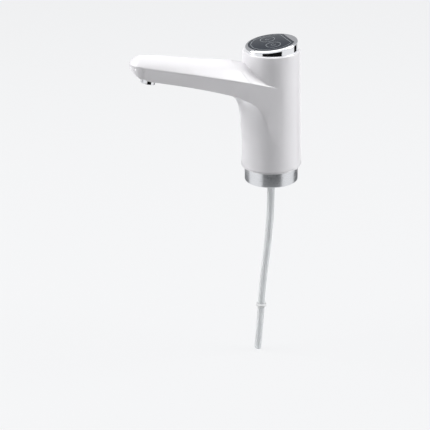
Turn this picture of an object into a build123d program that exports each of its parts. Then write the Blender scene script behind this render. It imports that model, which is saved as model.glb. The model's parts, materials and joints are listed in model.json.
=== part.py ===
from build123d import *
from math import asin, atan, atan2, cos, degrees, hypot, pi, radians, sin, sqrt, tan
import os

# A rechargeable water pump that stands in the neck of a large water bottle.
# Z is the axis of its round body, z = 0 is the bottle's rim and the spout points to -X.
# A motor low in the body drives a small centrifugal pump. The battery stands above the
# motor and the touch panel closes the top. Water comes up a silicone hose in the bottle,
# passes the pump, and leaves along a second hose inside the spout arm.

# ------------------------------------------------------------------ driving sizes, mm

# Neck sleeve, the part that sits inside the bottle's neck
sleeve_radius = 25.2
sleeve_depth = 15.0
sleeve_gauge = 0.9
sleeve_hem = 2.0
sleeve_groove = 0.5
sleeve_lip = 0.4

# Column
base_radius = 28.5
rim_radius = 26.6
rim_height = 112.2
column_wall = 2.2
rim_bevel = 0.8
foot_bevel = 0.5

# Spout arm. Heights are given as drops below the column's rim, at three reaches.
arm_reaches = (27.0, 75.0, 121.8)
crease_drops = (22.2, 10.1, 0.0)
crown_rises = (8.6, 11.0, 8.2)
crown_fullness = 3.0
nose_radius = 12.4
arm_wall = 2.3
cover_wall = 1.8
cover_lip = 1.5
cover_seam_radius = 38.0
cover_tongue = 1.0
tongue_depth = 3.0
crease_round = 0.9

# Underside of the arm. Close to the column it is a flare, given as a stand-off from the
# column, further out it is given by its reach, and under the nose by its distance past the
# nose's centre. All go with a drop below the rim.
flare_points = ((-0.45, 86.2), (1.7, 64.2), (3.7, 52.2), (6.4, 45.2), (14.1, 37.5))
underside_points = ((59.6, 28.8), (89.7, 19.6))
nose_points = ((-6.4, 13.2), (2.7, 10.2), (9.2, 4.7), (13.7, -4.8))

# Nozzle
nozzle_setback = 4.3
nozzle_radius = 6.9
nozzle_gauge = 1.25
nozzle_length = 4.5
nozzle_seat = 1.0
nozzle_step = 0.5
nozzle_recess = 1.6
elbow_body = 5.6
elbow_crown = 4.0
elbow_flange = 1.6
elbow_lip = 1.4
nozzle_pad = 1.0
straightener_radius = 4.7
straightener_height = 2.0
elbow_rise = 9.0
flow_radius = 3.0

# Base
flange_thickness = 1.2
flange_margin = 0.3
floor_thickness = 3.2
plug_height = 5.2
plug_wall = 2.0
spigot_wall = 2.2
screw_circle = 18.8
screw_radius = 1.5
screw_head_radius = 2.9
screw_head_height = 1.6
screw_length = 12.5
boss_radius = 3.4
boss_top = 14.5

# Clearances between pieces
snug = 0.05
fit = 0.15
loose = 0.3

# Pump
pump_radius = 13.6
stem_radius = 5.0
stem_depth = 6.2
nut_radius = 8.4
nut_height = 3.4
seal_depth = 1.5
barb_length = 13.0
eye_radius = 3.2
pump_cover_thickness = 3.0
gasket_thickness = 0.6
chamber_radius = 9.9
chamber_depth = 5.4
chamber_shift = 0.6
volute_roof = 2.6
seal_radius = 4.0
seal_height = 1.6
impeller_radius = 8.9
blade_count = 6
blade_thickness = 1.0
impeller_gap = 0.7
impeller_plate = 0.8
hub_radius = 2.6
outlet_offset = 6.8
outlet_reach = 19.5
outlet_radius = 2.6
outlet_bore = 1.9
outlet_level = 2.7
elbow_radius = 3.6
outlet_barb = 12.0
collar_height = 7.0
ear_circle = 15.8
ear_radius = 2.6
ear_count = 4
ear_thickness = 2.6
ear_screw_margin = 0.6
pump_screw_radius = 1.0
pump_screw_head = 1.9

# Hoses
hose_radius = 3.5
hose_bore = 2.5
barb_bore = 1.5
barb_depth = 0.35

# Motor
motor_radius = 12.2
motor_length = 27.0
motor_wall = 0.9
cap_thickness = 3.0
cap_plug = 1.4
shaft_radius = 1.0
bushing_radius = 3.0
bushing_length = 3.0
running_gap = 0.04
magnet_thickness = 1.9
magnet_margin = 3.2
magnet_split = 4.0
pole_radius = 8.9
pole_count = 3
pole_shoe = 1.5
pole_gap = 2.2
core_radius = 3.2
stem_width = 2.6
winding_depth = 1.8
winding_overhang = 1.8
terminal_circle = 7.6
stack_length = 16.0
commutator_radius = 3.4
brush_length = 3.2
brush_height = 2.2

# Battery, a standard cell 18.3 across and 50 long. Its length follows from the heights
# of the holder's plate and flange, less a contact at each end.
battery_radius = 9.15
lower_contact = 0.6
upper_contact = 0.5
holder_wall = 1.5
holder_plate = 2.0
rib_thickness = 1.6
rib_angle = 62.0
sleeve_grip = 6.0
window_width = 12.0

# Control board and charging port, on the side away from the spout
board_thickness = 1.2
board_room = 1.85
board_width = 18.0
rail_thickness = 1.6
rail_groove = 1.0
rail_front = 9.0
rail_lip = 1.2
board_bottom = 22.0
board_length = 68.0
port_height = 34.0
port_width = 9.0
port_thickness = 3.2
port_length = 5.2
port_gap = 0.34
port_hole_width = 10.4
port_hole_height = 4.6
port_pad = 1.6
flap_thickness = 1.3
flap_plug_depth = 0.8
recess_width = 13.2
recess_height = 8.2
recess_depth = 1.4
cover_gap = 0.3

# Cap: bezel, touch panel and what is under them
cap_rise = 6.8
cap_tilt = 6.8
bezel_fit = 0.15
bezel_bevel = 2.2
bezel_skirt = 6.2
bezel_wall = 2.2
ring_height = 1.1
ring_inset = 1.0
seal_level = 2.4
panel_radius = 21.6
panel_chord = 17.1
panel_thickness = 1.7
panel_ledge = 1.7
touch_board_thickness = 1.0
key_offset = 7.6
key_radius = 6.2
carrier_floor = 1.7
carrier_hole = 12.0
carrier_gauge = 1.8

# Suction hose, hanging in the bottle, and the connector in it
suction_top = 6.3
suction_points = ((0.0, 0.0, -36.0), (-1.2, 0.9, -68.0), (-5.0, 0.4, -100.0), (-9.4, -0.4, -131.0))
connector_at = (-10.6, -0.6, -150.0)
connector_flange = 5.2
connector_thickness = 3.0
connector_barb = 8.5
connector_bore = 1.6
lower_first_run = 16.5
lower_points = ((-12.9, 0.2, -186.0),)
lower_end = (-13.6, 1.2, -200.0)

# ------------------------------------------------------------------ shared geometry

draft_slope = (base_radius - rim_radius) / rim_height
draft = degrees(atan(draft_slope))
nose_reach = arm_reaches[-1]
nozzle_reach = nose_reach - nozzle_setback
far = 200.0


def column_radius(height):
    """Outside radius of the drafted column at a height."""
    return base_radius - draft_slope * height


def bore_radius(height):
    """Inside radius of the column at a height."""
    return column_radius(height) - column_wall


def through(values, reach):
    """A parabola through three values given at the arm's three reaches."""
    a, b, c = arm_reaches
    return (
        values[0] * (reach - b) * (reach - c) / ((a - b) * (a - c))
        + values[1] * (reach - a) * (reach - c) / ((b - a) * (b - c))
        + values[2] * (reach - a) * (reach - b) / ((c - a) * (c - b))
    )


def crease_height(reach):
    """Height of the edge between the arm's side and its crowned top."""
    return rim_height - through(crease_drops, reach)


nose_outline_radius = nose_radius + draft_slope * crease_height(nose_reach)


def arm_prism(inset):
    """The arm's plan outline, tangent to the column and drafted with it.

    It starts on a straight line between the two points where it leaves the column.
    """
    root = base_radius - inset
    nose = nose_outline_radius - inset
    lean = asin((root - nose) / nose_reach)
    start = (-root * sin(lean), root * cos(lean))
    end = (-nose_reach - nose * sin(lean), nose * cos(lean))
    with BuildPart() as prism:
        with BuildSketch():
            with BuildLine():
                Line(start, end)
                ThreePointArc(end, (-nose_reach - nose, 0), (end[0], -end[1]))
                Line((end[0], -end[1]), (start[0], -start[1]))
                Line((start[0], -start[1]), start)
            make_face()
        extrude(amount=rim_height + 2 * crown_rises[1], taper=draft)
    return prism.part


def crown_height(x, y):
    """Height of the arm's crowned top over a point.

    share runs from 0 on the arm's spine to 1 on its outline, and is rounded with the nose.
    """
    middle = column_radius(rim_height - crease_drops[1])
    nose = nose_outline_radius - base_radius + middle
    taper = (middle - nose) / nose_reach
    station = min(-x - taper * y * y / (middle + taper * x), nose_reach)
    share = hypot(x + station, y) / (middle - taper * station)
    fall = 1 - share**crown_fullness if share < 1 else crown_fullness * (1 - share)
    return crease_height(-x) + through(crown_rises, station) * fall


def under_crown(drop):
    """Everything below the arm's crowned top, lowered by drop."""
    spacing = 6.0
    beyond = nose_radius + 3.6
    count = int((nose_reach + beyond) / spacing) + 2
    columns = [-nose_reach - beyond + spacing * i for i in range(count)]
    rows = [spacing * (j - 5.5) for j in range(12)]
    grid = [[Vector(x, y, crown_height(x, y) - drop) for y in rows] for x in columns]
    top = Face.make_surface_from_array_of_points(grid, tol=0.08, min_deg=3, max_deg=5)
    with BuildPart() as block:
        extrude(top, amount=rim_height + crown_rises[1], dir=(0, 0, -1))
    return block.part


def underside_line():
    """The arm's underside, drawn outwards from the column as radius and height."""
    near = [(column_radius(rim_height - drop) + off, rim_height - drop) for off, drop in flare_points]
    away = [(reach, rim_height - drop) for reach, drop in underside_points]
    nose = [(nose_reach + past, rim_height - drop) for past, drop in nose_points]
    return near + away + nose


def below_arm(wall):
    """Everything under the arm, a body of revolution that flares into the column.

    With a wall it reaches that much further up, which leaves the room inside the arm.
    """
    points = underside_line()
    if wall > 0:
        with BuildLine() as outside:
            Spline(*points)
        line = outside.line
        shares = [i / 14 for i in range(15)]
        points = [
            ((line @ t).X - wall * (line % t).Y, (line @ t).Y + wall * (line % t).X) for t in shares
        ]
    first, last = points[0], points[-1]
    with BuildPart() as ring:
        with BuildSketch(Plane.XZ):
            with BuildLine():
                Spline(*points)
                Polyline(last, (far, last[1]), (far, -far), (first[0], -far), first)
            make_face()
        revolve(axis=Axis.Z)
    return ring.part


def cover_zone(lower):
    """The part of the arm that its cover takes: above the crease less a lip, past the seam."""
    reaches = [20.0 + 30.0 * i for i in range(5)]
    line = [(-reach, crease_height(reach) - cover_lip - lower) for reach in reaches]
    with BuildPart() as zone:
        with BuildSketch(Plane.XZ):
            with BuildLine():
                Spline(*line)
                Polyline(line[-1], (line[-1][0], far), (line[0][0], far), line[0])
            make_face()
        extrude(amount=2 * base_radius, both=True)
        Cylinder(cover_seam_radius, 2 * far, mode=Mode.SUBTRACT)
    return zone.part


# The underside's height and slope where the nozzle stands
with BuildLine() as underside_curve:
    Spline(*underside_line())
nozzle_share = min(
    (i / 400 for i in range(401)), key=lambda t: abs((underside_curve.line @ t).X - nozzle_reach)
)
nozzle_foot = underside_curve.line @ nozzle_share
nozzle_slope = underside_curve.line % nozzle_share
nozzle_down = Vector(-nozzle_slope.Y, 0, -nozzle_slope.X)
nozzle_back = Vector(nozzle_slope.X, 0, -nozzle_slope.Y)
nozzle_plane = Plane(
    origin=(-nozzle_reach, 0, nozzle_foot.Y), x_dir=nozzle_back, z_dir=nozzle_down
)

# Heights of the stack of inner pieces, from the base up
pump_bottom = floor_thickness
volute_bottom = pump_bottom + pump_cover_thickness + gasket_thickness
chamber_top = volute_bottom + chamber_depth
motor_bottom = chamber_top + volute_roof
motor_top = motor_bottom + motor_length
cap_top = motor_top + cap_thickness
plate_bottom = cap_top + 4.4
elbow_top = volute_bottom + outlet_level + elbow_radius
flap_back = column_radius(port_height) - recess_depth - flap_plug_depth
board_face = flap_back - port_gap - port_length - board_thickness
rail_middle = board_width / 2 + snug + (rail_thickness - rail_groove) / 2

# Heights of the cap, from the rim down
cap_axis_height = rim_height + cap_rise
bezel_bottom = rim_height - bezel_skirt
bezel_radius = bore_radius(rim_height) - bezel_fit
carrier_bottom = bezel_bottom - carrier_floor
flange_bottom = carrier_bottom - holder_plate
battery_bottom = plate_bottom + holder_plate + lower_contact
battery_top = flange_bottom - upper_contact
cap_plane = Plane(
    origin=(0, 0, cap_axis_height),
    x_dir=(cos(radians(cap_tilt)), 0, sin(radians(cap_tilt))),
    z_dir=(-sin(radians(cap_tilt)), 0, cos(radians(cap_tilt))),
)


def cap_level(depth):
    """The tilted plane that lies depth below the cap's top."""
    return cap_plane.offset(-depth)


def panel_outline(margin):
    """The touch panel's outline: a circle with its back cut off straight."""
    with BuildSketch() as outline:
        Circle(panel_radius + margin)
        with Locations((panel_chord + margin + panel_radius, 0)):
            Rectangle(2 * panel_radius, 3 * panel_radius, mode=Mode.SUBTRACT)
    return outline.sketch


def column_core(inset):
    """The column as a solid, with its surface moved in by inset."""
    with BuildPart() as core:
        with BuildSketch():
            Circle(base_radius - inset)
        extrude(amount=rim_height, taper=draft)
    return core.part


def barb(length):
    """A hose barb that stands on z = 0, still without its bore: a pin with saw teeth."""
    grip = hose_bore - snug
    pitch = 3.2
    teeth = int((length - 2) / pitch)
    with BuildPart() as nipple:
        Cylinder(grip - barb_depth, length - pitch * teeth, align=(Align.CENTER, Align.CENTER, Align.MIN))
        for i in range(teeth):
            with Locations((0, 0, length - pitch * (i + 1))):
                Cone(grip, grip - barb_depth, pitch, align=(Align.CENTER, Align.CENTER, Align.MIN))
    return nipple.part


def hose(points):
    """A hose along straight runs joined by arcs as large as the runs allow."""
    stops = [Vector(*point) for point in points]
    radii = []
    for before, here, after in zip(stops, stops[1:], stops[2:]):
        turn = (here - before).get_angle(after - here)
        run = min((here - before).length, (after - here).length)
        radii.append(0.45 * run / tan(radians(turn / 2)))
    with BuildPart() as pipe:
        with BuildLine() as route:
            FilletPolyline(*stops, radius=radii)
        with BuildSketch(Plane(origin=stops[0], z_dir=stops[1] - stops[0])):
            Circle(hose_radius)
            Circle(hose_bore, mode=Mode.SUBTRACT)
        sweep()
    length = sum(edge.length for edge in route.edges())
    share = pipe.part.volume / (pi * (hose_radius**2 - hose_bore**2) * length)
    print("hose: length", round(length, 1), "bend radii", [round(radius) for radius in radii], "volume share", round(share, 4))
    return pipe.part


os.makedirs("parts", exist_ok=True)


def keep(piece, name):
    """Label a finished piece and write it."""
    piece.part.label = name
    export_step(piece.part, f"parts/{name}.step")


# ------------------------------------------------------------------ column, arm and cover

with BuildPart() as arm_form:
    add(arm_prism(0))
    add(under_crown(0), mode=Mode.INTERSECT)
    crown_face = arm_form.faces().filter_by(GeomType.BSPLINE).sort_by(SortBy.AREA)[-1]
    fillet([edge for edge in crown_face.edges() if edge.center().X < -nose_reach / 3], crease_round)
    add(below_arm(0), mode=Mode.SUBTRACT)
    split(bisect_by=Plane.XY.offset(2 * plug_height), keep=Keep.TOP)

with BuildPart() as arm_hollow:
    add(arm_prism(arm_wall))
    add(under_crown(cover_wall), mode=Mode.INTERSECT)
    add(below_arm(arm_wall), mode=Mode.SUBTRACT)

# The charging recess follows the column's surface
with BuildPart() as port_recess:
    with BuildSketch(Plane.YZ):
        with Locations((0, port_height)):
            RectangleRounded(recess_width, recess_height, 1.6)
    extrude(amount=2 * base_radius)
    add(column_core(recess_depth), mode=Mode.SUBTRACT)

with BuildPart() as housing:
    with BuildSketch(Plane.XY.offset(flange_thickness)):
        Circle(column_radius(flange_thickness))
    extrude(amount=rim_height - flange_thickness, taper=draft)
    # bevels at the rim and the foot
    with BuildSketch(Plane.XZ):
        for level, bevel, up in ((rim_height, rim_bevel, 1), (flange_thickness, foot_bevel, -1)):
            edge = column_radius(level)
            with BuildLine():
                Polyline(
                    (edge - bevel - 1, level + up),
                    (edge + 1, level - up * (bevel + 1)),
                    (edge + 1, level + up),
                    close=True,
                )
            make_face()
    revolve(axis=Axis.Z, mode=Mode.SUBTRACT)
    add(arm_form.part)
    add(cover_zone(0), mode=Mode.SUBTRACT)
    # the hollow of the arm and of the column
    add(arm_hollow.part, mode=Mode.SUBTRACT)
    with BuildSketch(Plane.XY.offset(flange_thickness)):
        Circle(bore_radius(flange_thickness))
    extrude(amount=rim_height - flange_thickness, taper=draft, mode=Mode.SUBTRACT)
    # four screw bosses, each on a web from the wall
    with PolarLocations(screw_circle, 4, start_angle=45):
        with Locations((0, 0, floor_thickness)):
            Cylinder(boss_radius, boss_top - floor_thickness, align=(Align.CENTER, Align.CENTER, Align.MIN))
        with Locations((0, 0, plug_height + loose)):
            Box(
                base_radius - column_wall / 2 - screw_circle,
                2.0,
                boss_top - plug_height - loose,
                align=(Align.MIN, Align.CENTER, Align.MIN),
            )
    with BuildSketch(Plane.XY.offset(floor_thickness)):
        with PolarLocations(screw_circle, 4, start_angle=45):
            Circle(screw_radius)
    extrude(amount=screw_length - floor_thickness + 1, mode=Mode.SUBTRACT)
    # charging port: a pad behind the wall, the recess for the flap, and the hole
    with BuildSketch(Plane.YZ.offset(bore_radius(port_height) - port_pad)):
        with Locations((0, port_height)):
            RectangleRounded(recess_width + 3.2, recess_height + 3.2, 2.4)
    extrude(amount=port_pad + column_wall / 2)
    add(port_recess.part, mode=Mode.SUBTRACT)
    with BuildSketch(Plane.YZ):
        with Locations((0, port_height)):
            RectangleRounded(port_hole_width, port_hole_height, 1.8)
    extrude(amount=2 * base_radius, mode=Mode.SUBTRACT)
    # nozzle: a flat pad inside, a shallow seat for the ring and a hole for the elbow
    with BuildSketch(nozzle_plane.offset(-arm_wall - nozzle_pad)):
        Circle(elbow_body + 2 * elbow_lip)
    extrude(amount=nozzle_pad + arm_wall / 2)
    with BuildSketch(nozzle_plane.offset(-nozzle_seat)):
        Circle(nozzle_radius - nozzle_step + snug)
    extrude(amount=2 * nozzle_seat, mode=Mode.SUBTRACT)
    with BuildSketch(nozzle_plane.offset(-3 * arm_wall)):
        Circle(elbow_body + fit)
    extrude(amount=3 * arm_wall + nozzle_length, mode=Mode.SUBTRACT)
keep(housing, "housing")

with BuildPart() as spout_cover:
    add(arm_form.part)
    add(cover_zone(0), mode=Mode.INTERSECT)
    add(arm_hollow.part, mode=Mode.SUBTRACT)
    # a tongue that drops inside the arm's wall, and the band that joins it to the cover
    with BuildPart(mode=Mode.PRIVATE) as tongue:
        add(arm_prism(arm_wall + snug))
        add(cover_zone(tongue_depth), mode=Mode.INTERSECT)
        with BuildPart(mode=Mode.PRIVATE) as band:
            add(arm_prism(arm_wall - loose))
            add(cover_zone(0), mode=Mode.INTERSECT)
        add(band.part)
        add(arm_prism(arm_wall + cover_tongue), mode=Mode.SUBTRACT)
        add(cover_zone(-2 * cover_lip), mode=Mode.SUBTRACT)
        add(under_crown(cover_wall / 2), mode=Mode.INTERSECT)
        add(below_arm(arm_wall + loose), mode=Mode.SUBTRACT)
        with Locations((-nose_reach, 0)):
            Box(far, far, 2 * far, align=(Align.MAX, Align.CENTER, Align.CENTER), mode=Mode.SUBTRACT)
        with Locations((-cover_seam_radius - loose, 0)):
            Box(far, far, 2 * far, align=(Align.MIN, Align.CENTER, Align.CENTER), mode=Mode.SUBTRACT)
    add(tongue.part)
keep(spout_cover, "spout_cover")

# ------------------------------------------------------------------ base and neck sleeve

spigot_radius = sleeve_radius - sleeve_gauge - snug
spigot_bottom = -sleeve_depth + sleeve_gauge + snug
plug_radius = bore_radius(plug_height) - fit

with BuildPart() as base_plate:
    with BuildSketch():
        Circle(base_radius - flange_margin)
    extrude(amount=flange_thickness)
    with BuildSketch():
        Circle(plug_radius)
    extrude(amount=floor_thickness)
    with BuildSketch(Plane.XY.offset(floor_thickness)):
        Circle(plug_radius)
        Circle(plug_radius - plug_wall, mode=Mode.SUBTRACT)
    extrude(amount=plug_height - floor_thickness)
    # the spigot that carries the neck sleeve
    with BuildSketch(Plane.XY.offset(spigot_bottom)):
        Circle(spigot_radius)
        Circle(spigot_radius - spigot_wall, mode=Mode.SUBTRACT)
    extrude(amount=-spigot_bottom)
    with BuildSketch():
        Circle(sleeve_radius + snug)
        Circle(spigot_radius, mode=Mode.SUBTRACT)
    extrude(amount=sleeve_groove, mode=Mode.SUBTRACT)
    # the inlet hole with a seat for its seal
    with BuildSketch():
        Circle(stem_radius + snug)
    extrude(amount=floor_thickness, mode=Mode.SUBTRACT)
    with BuildSketch():
        Circle(stem_radius + 2 * seal_depth)
    extrude(amount=seal_depth, mode=Mode.SUBTRACT)
    # screw holes, sunk for their heads
    with BuildSketch():
        with PolarLocations(screw_circle, 4, start_angle=45):
            Circle(screw_radius + fit)
    extrude(amount=floor_thickness, mode=Mode.SUBTRACT)
    with BuildSketch():
        with PolarLocations(screw_circle, 4, start_angle=45):
            Circle(screw_head_radius + fit)
    extrude(amount=screw_head_height, mode=Mode.SUBTRACT)
keep(base_plate, "base_plate")

with BuildPart() as neck_sleeve:
    with BuildSketch(Plane.XY.offset(-sleeve_depth)):
        Circle(sleeve_radius)
        Circle(sleeve_radius - sleeve_gauge, mode=Mode.SUBTRACT)
    extrude(amount=sleeve_depth + sleeve_lip)
    # the lower edge is turned in under the spigot
    with BuildSketch(Plane.XY.offset(-sleeve_depth)):
        Circle(sleeve_radius)
        Circle(sleeve_radius - sleeve_hem - sleeve_gauge, mode=Mode.SUBTRACT)
    extrude(amount=sleeve_gauge)
    rings = neck_sleeve.edges().filter_by(GeomType.CIRCLE).group_by(Axis.Z)
    chamfer(rings[0].sort_by(SortBy.LENGTH)[-1], sleeve_gauge - loose)
    # the upper edge is bevelled where it goes into the base's groove
    chamfer(rings[-1].sort_by(SortBy.LENGTH)[-1], sleeve_lip)
keep(neck_sleeve, "neck_sleeve")

with BuildPart() as base_screws:
    with PolarLocations(screw_circle, 4, start_angle=45):
        Cylinder(screw_head_radius, screw_head_height, align=(Align.CENTER, Align.CENTER, Align.MIN))
        Cylinder(screw_radius - snug, screw_length, align=(Align.CENTER, Align.CENTER, Align.MIN))
    # a cross recess in each head
    with BuildSketch():
        with PolarLocations(screw_circle, 4, start_angle=45):
            Rectangle(3.2, 0.8)
            Rectangle(0.8, 3.2)
    extrude(amount=screw_head_height / 2, mode=Mode.SUBTRACT)
keep(base_screws, "base_screws")

# ------------------------------------------------------------------ pump

with BuildPart() as inlet_nut:
    with BuildSketch(Plane.XY.offset(-nut_height)):
        RegularPolygon(nut_radius, 6)
        Circle(stem_radius + snug, mode=Mode.SUBTRACT)
    extrude(amount=nut_height)
    chamfer(inlet_nut.faces().sort_by(Axis.Z)[0].outer_wire().edges(), 0.5)
keep(inlet_nut, "inlet_nut")

with BuildPart() as inlet_seal:
    with BuildSketch():
        Circle(stem_radius + 2 * seal_depth - fit)
        Circle(stem_radius + snug, mode=Mode.SUBTRACT)
    extrude(amount=seal_depth - snug)
keep(inlet_seal, "inlet_seal")

with BuildPart() as pump_cover:
    with BuildSketch(Plane.XY.offset(pump_bottom)):
        Circle(pump_radius)
        with PolarLocations(ear_circle, ear_count):
            Circle(ear_radius)
    extrude(amount=pump_cover_thickness)
    with BuildSketch(Plane.XY.offset(-stem_depth)):
        Circle(stem_radius)
    extrude(amount=pump_bottom + stem_depth)
    with Locations(Location((0, 0, -stem_depth), (180, 0, 0))):
        add(barb(barb_length))
    with BuildSketch(Plane.XY.offset(-stem_depth - barb_length)):
        Circle(barb_bore)
    extrude(amount=volute_bottom + stem_depth + barb_length, mode=Mode.SUBTRACT)
    with BuildSketch(Plane.XY.offset(pump_bottom + pump_cover_thickness)):
        Circle(eye_radius)
    extrude(amount=-pump_cover_thickness / 2, mode=Mode.SUBTRACT)
    with BuildSketch(Plane.XY.offset(pump_bottom + ear_screw_margin)):
        with PolarLocations(ear_circle, ear_count):
            Circle(pump_screw_radius)
    extrude(amount=pump_cover_thickness, mode=Mode.SUBTRACT)
keep(pump_cover, "pump_cover")

with BuildPart() as pump_gasket:
    with BuildSketch(Plane.XY.offset(volute_bottom - gasket_thickness)):
        Circle(pump_radius)
        Circle(chamber_radius + 1.0, mode=Mode.SUBTRACT)
    extrude(amount=gasket_thickness)
keep(pump_gasket, "pump_gasket")

with BuildPart() as pump_volute:
    with BuildSketch(Plane.XY.offset(volute_bottom)):
        Circle(pump_radius)
    extrude(amount=motor_bottom + collar_height - volute_bottom)
    with BuildSketch(Plane.XY.offset(volute_bottom)):
        with PolarLocations(ear_circle, ear_count):
            Circle(ear_radius)
    extrude(amount=ear_thickness)
    # the outlet leaves the chamber at a tangent and turns up into a barb
    outlet_plane = Plane(origin=(0, -outlet_offset, volute_bottom + outlet_level), z_dir=(-1, 0, 0))
    with BuildSketch(outlet_plane):
        Circle(outlet_radius)
    extrude(amount=outlet_reach)
    with BuildSketch(Plane.XY.offset(volute_bottom)):
        with Locations((-outlet_reach, -outlet_offset)):
            Circle(elbow_radius)
    extrude(amount=elbow_top - volute_bottom)
    with Locations((-outlet_reach, -outlet_offset, elbow_top)):
        add(barb(outlet_barb))
    # the seat for the motor
    with BuildSketch(Plane.XY.offset(motor_bottom)):
        Circle(motor_radius + snug)
    extrude(amount=collar_height, mode=Mode.SUBTRACT)
    # chamber, a little off the shaft so that it widens towards the outlet
    with BuildSketch(Plane.XY.offset(volute_bottom)):
        Circle(chamber_radius)
        with Locations((-chamber_shift, -chamber_shift)):
            Circle(chamber_radius)
    extrude(amount=chamber_depth, mode=Mode.SUBTRACT)
    with BuildSketch(outlet_plane):
        Circle(outlet_bore)
    extrude(amount=outlet_reach, mode=Mode.SUBTRACT)
    with BuildSketch(Plane.XY.offset(volute_bottom + outlet_level)):
        with Locations((-outlet_reach, -outlet_offset)):
            Circle(barb_bore)
    extrude(amount=elbow_top + outlet_barb, mode=Mode.SUBTRACT)
    # shaft hole and the pocket for its seal
    with BuildSketch(Plane.XY.offset(chamber_top)):
        Circle(shaft_radius + loose)
    extrude(amount=volute_roof, mode=Mode.SUBTRACT)
    with BuildSketch(Plane.XY.offset(motor_bottom)):
        Circle(seal_radius)
    extrude(amount=-seal_height, mode=Mode.SUBTRACT)
    with BuildSketch(Plane.XY.offset(volute_bottom)):
        with PolarLocations(ear_circle, ear_count):
            Circle(pump_screw_radius)
    extrude(amount=ear_thickness, mode=Mode.SUBTRACT)
keep(pump_volute, "pump_volute")

with BuildPart() as pump_screws:
    with BuildSketch(Plane.XY.offset(pump_bottom + ear_screw_margin)):
        with PolarLocations(ear_circle, ear_count):
            Circle(pump_screw_radius - snug)
    extrude(amount=volute_bottom + ear_thickness - pump_bottom - ear_screw_margin)
    with BuildSketch(Plane.XY.offset(volute_bottom + ear_thickness)):
        with PolarLocations(ear_circle, ear_count):
            Circle(pump_screw_head)
    extrude(amount=pump_screw_head / 2)
keep(pump_screws, "pump_screws")

with BuildPart() as shaft_seal:
    with BuildSketch(Plane.XY.offset(motor_bottom - seal_height)):
        Circle(seal_radius - snug)
        Circle(shaft_radius + running_gap, mode=Mode.SUBTRACT)
    extrude(amount=seal_height)
keep(shaft_seal, "shaft_seal")

impeller_top = chamber_top - impeller_gap
impeller_bottom = volute_bottom + impeller_gap

with BuildPart() as impeller:
    with BuildSketch(Plane.XY.offset(impeller_top - impeller_plate)):
        Circle(impeller_radius)
    extrude(amount=impeller_plate)
    # backward-curved blades
    with BuildSketch(Plane.XY.offset(impeller_bottom)):
        with PolarLocations(0, blade_count):
            with BuildLine() as blade:
                ThreePointArc((hub_radius - 0.4, 0), (impeller_radius * 0.62, -1.0), (impeller_radius - 0.6, -3.4))
                offset(amount=blade_thickness / 2, side=Side.BOTH, closed=True)
            make_face()
    extrude(amount=impeller_top - impeller_bottom)
    with BuildSketch(Plane.XY.offset(impeller_bottom)):
        Circle(hub_radius)
    extrude(amount=impeller_top - impeller_bottom)
    with BuildSketch(Plane.XY.offset(impeller_bottom)):
        Circle(shaft_radius)
    extrude(amount=impeller_top - impeller_bottom, mode=Mode.SUBTRACT)
keep(impeller, "impeller")

# ------------------------------------------------------------------ motor

with BuildPart() as motor_can:
    with BuildSketch(Plane.XY.offset(motor_bottom)):
        Circle(motor_radius)
    extrude(amount=motor_length)
    with BuildSketch(Plane.XY.offset(motor_bottom + motor_wall)):
        Circle(motor_radius - motor_wall)
    extrude(amount=motor_length, mode=Mode.SUBTRACT)
    with BuildSketch(Plane.XY.offset(motor_bottom)):
        Circle(bushing_radius + snug)
    extrude(amount=motor_wall, mode=Mode.SUBTRACT)
keep(motor_can, "motor_can")

with BuildPart() as motor_end_cap:
    with BuildSketch(Plane.XY.offset(motor_top)):
        Circle(motor_radius)
    extrude(amount=cap_thickness)
    with BuildSketch(Plane.XY.offset(motor_top - cap_plug)):
        Circle(motor_radius - motor_wall - snug)
        Circle(commutator_radius + 1.2, mode=Mode.SUBTRACT)
    extrude(amount=cap_plug)
    with BuildSketch(Plane.XY.offset(motor_top)):
        Circle(bushing_radius + snug)
    extrude(amount=cap_thickness, mode=Mode.SUBTRACT)
    chamfer(motor_end_cap.faces().sort_by(Axis.Z)[-1].outer_wire().edges(), 0.6)
keep(motor_end_cap, "motor_end_cap")

with BuildPart() as motor_bushings:
    for level in (motor_bottom, motor_top):
        with BuildSketch(Plane.XY.offset(level)):
            Circle(bushing_radius)
            Circle(shaft_radius + running_gap, mode=Mode.SUBTRACT)
        extrude(amount=bushing_length)
keep(motor_bushings, "motor_bushings")

with BuildPart() as motor_magnets:
    with BuildSketch(Plane.XY.offset(motor_bottom + magnet_margin)):
        Circle(motor_radius - motor_wall - snug)
        Circle(motor_radius - motor_wall - magnet_thickness, mode=Mode.SUBTRACT)
        Rectangle(3 * motor_radius, 2 * magnet_split, mode=Mode.SUBTRACT)
    extrude(amount=motor_length - cap_plug - 2 * magnet_margin)
keep(motor_magnets, "motor_magnets")

stack_bottom = motor_bottom + magnet_margin + winding_overhang
brush_top = motor_top - cap_plug

with BuildPart() as motor_brushes:
    for turn in (0, 180):
        with BuildSketch(Plane.XY.offset(brush_top - brush_height)):
            with PolarLocations(0, 1, start_angle=turn):
                with Locations((commutator_radius + 0.1 + brush_length / 2, 0)):
                    Rectangle(brush_length, 2.4)
        extrude(amount=brush_height)
keep(motor_brushes, "motor_brushes")

with BuildPart() as motor_terminals:
    with BuildSketch(Plane.XY.offset(cap_top)):
        with PolarLocations(terminal_circle, 2):
            Rectangle(0.6, 2.4)
    extrude(amount=plate_bottom - cap_top - loose)
keep(motor_terminals, "motor_terminals")

with BuildPart() as motor_shaft:
    with BuildSketch(Plane.XY.offset(impeller_bottom)):
        Circle(shaft_radius)
    extrude(amount=cap_top + 1.0 - impeller_bottom)
    chamfer(motor_shaft.edges().filter_by(GeomType.CIRCLE), 0.2)
keep(motor_shaft, "motor_shaft")

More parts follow.
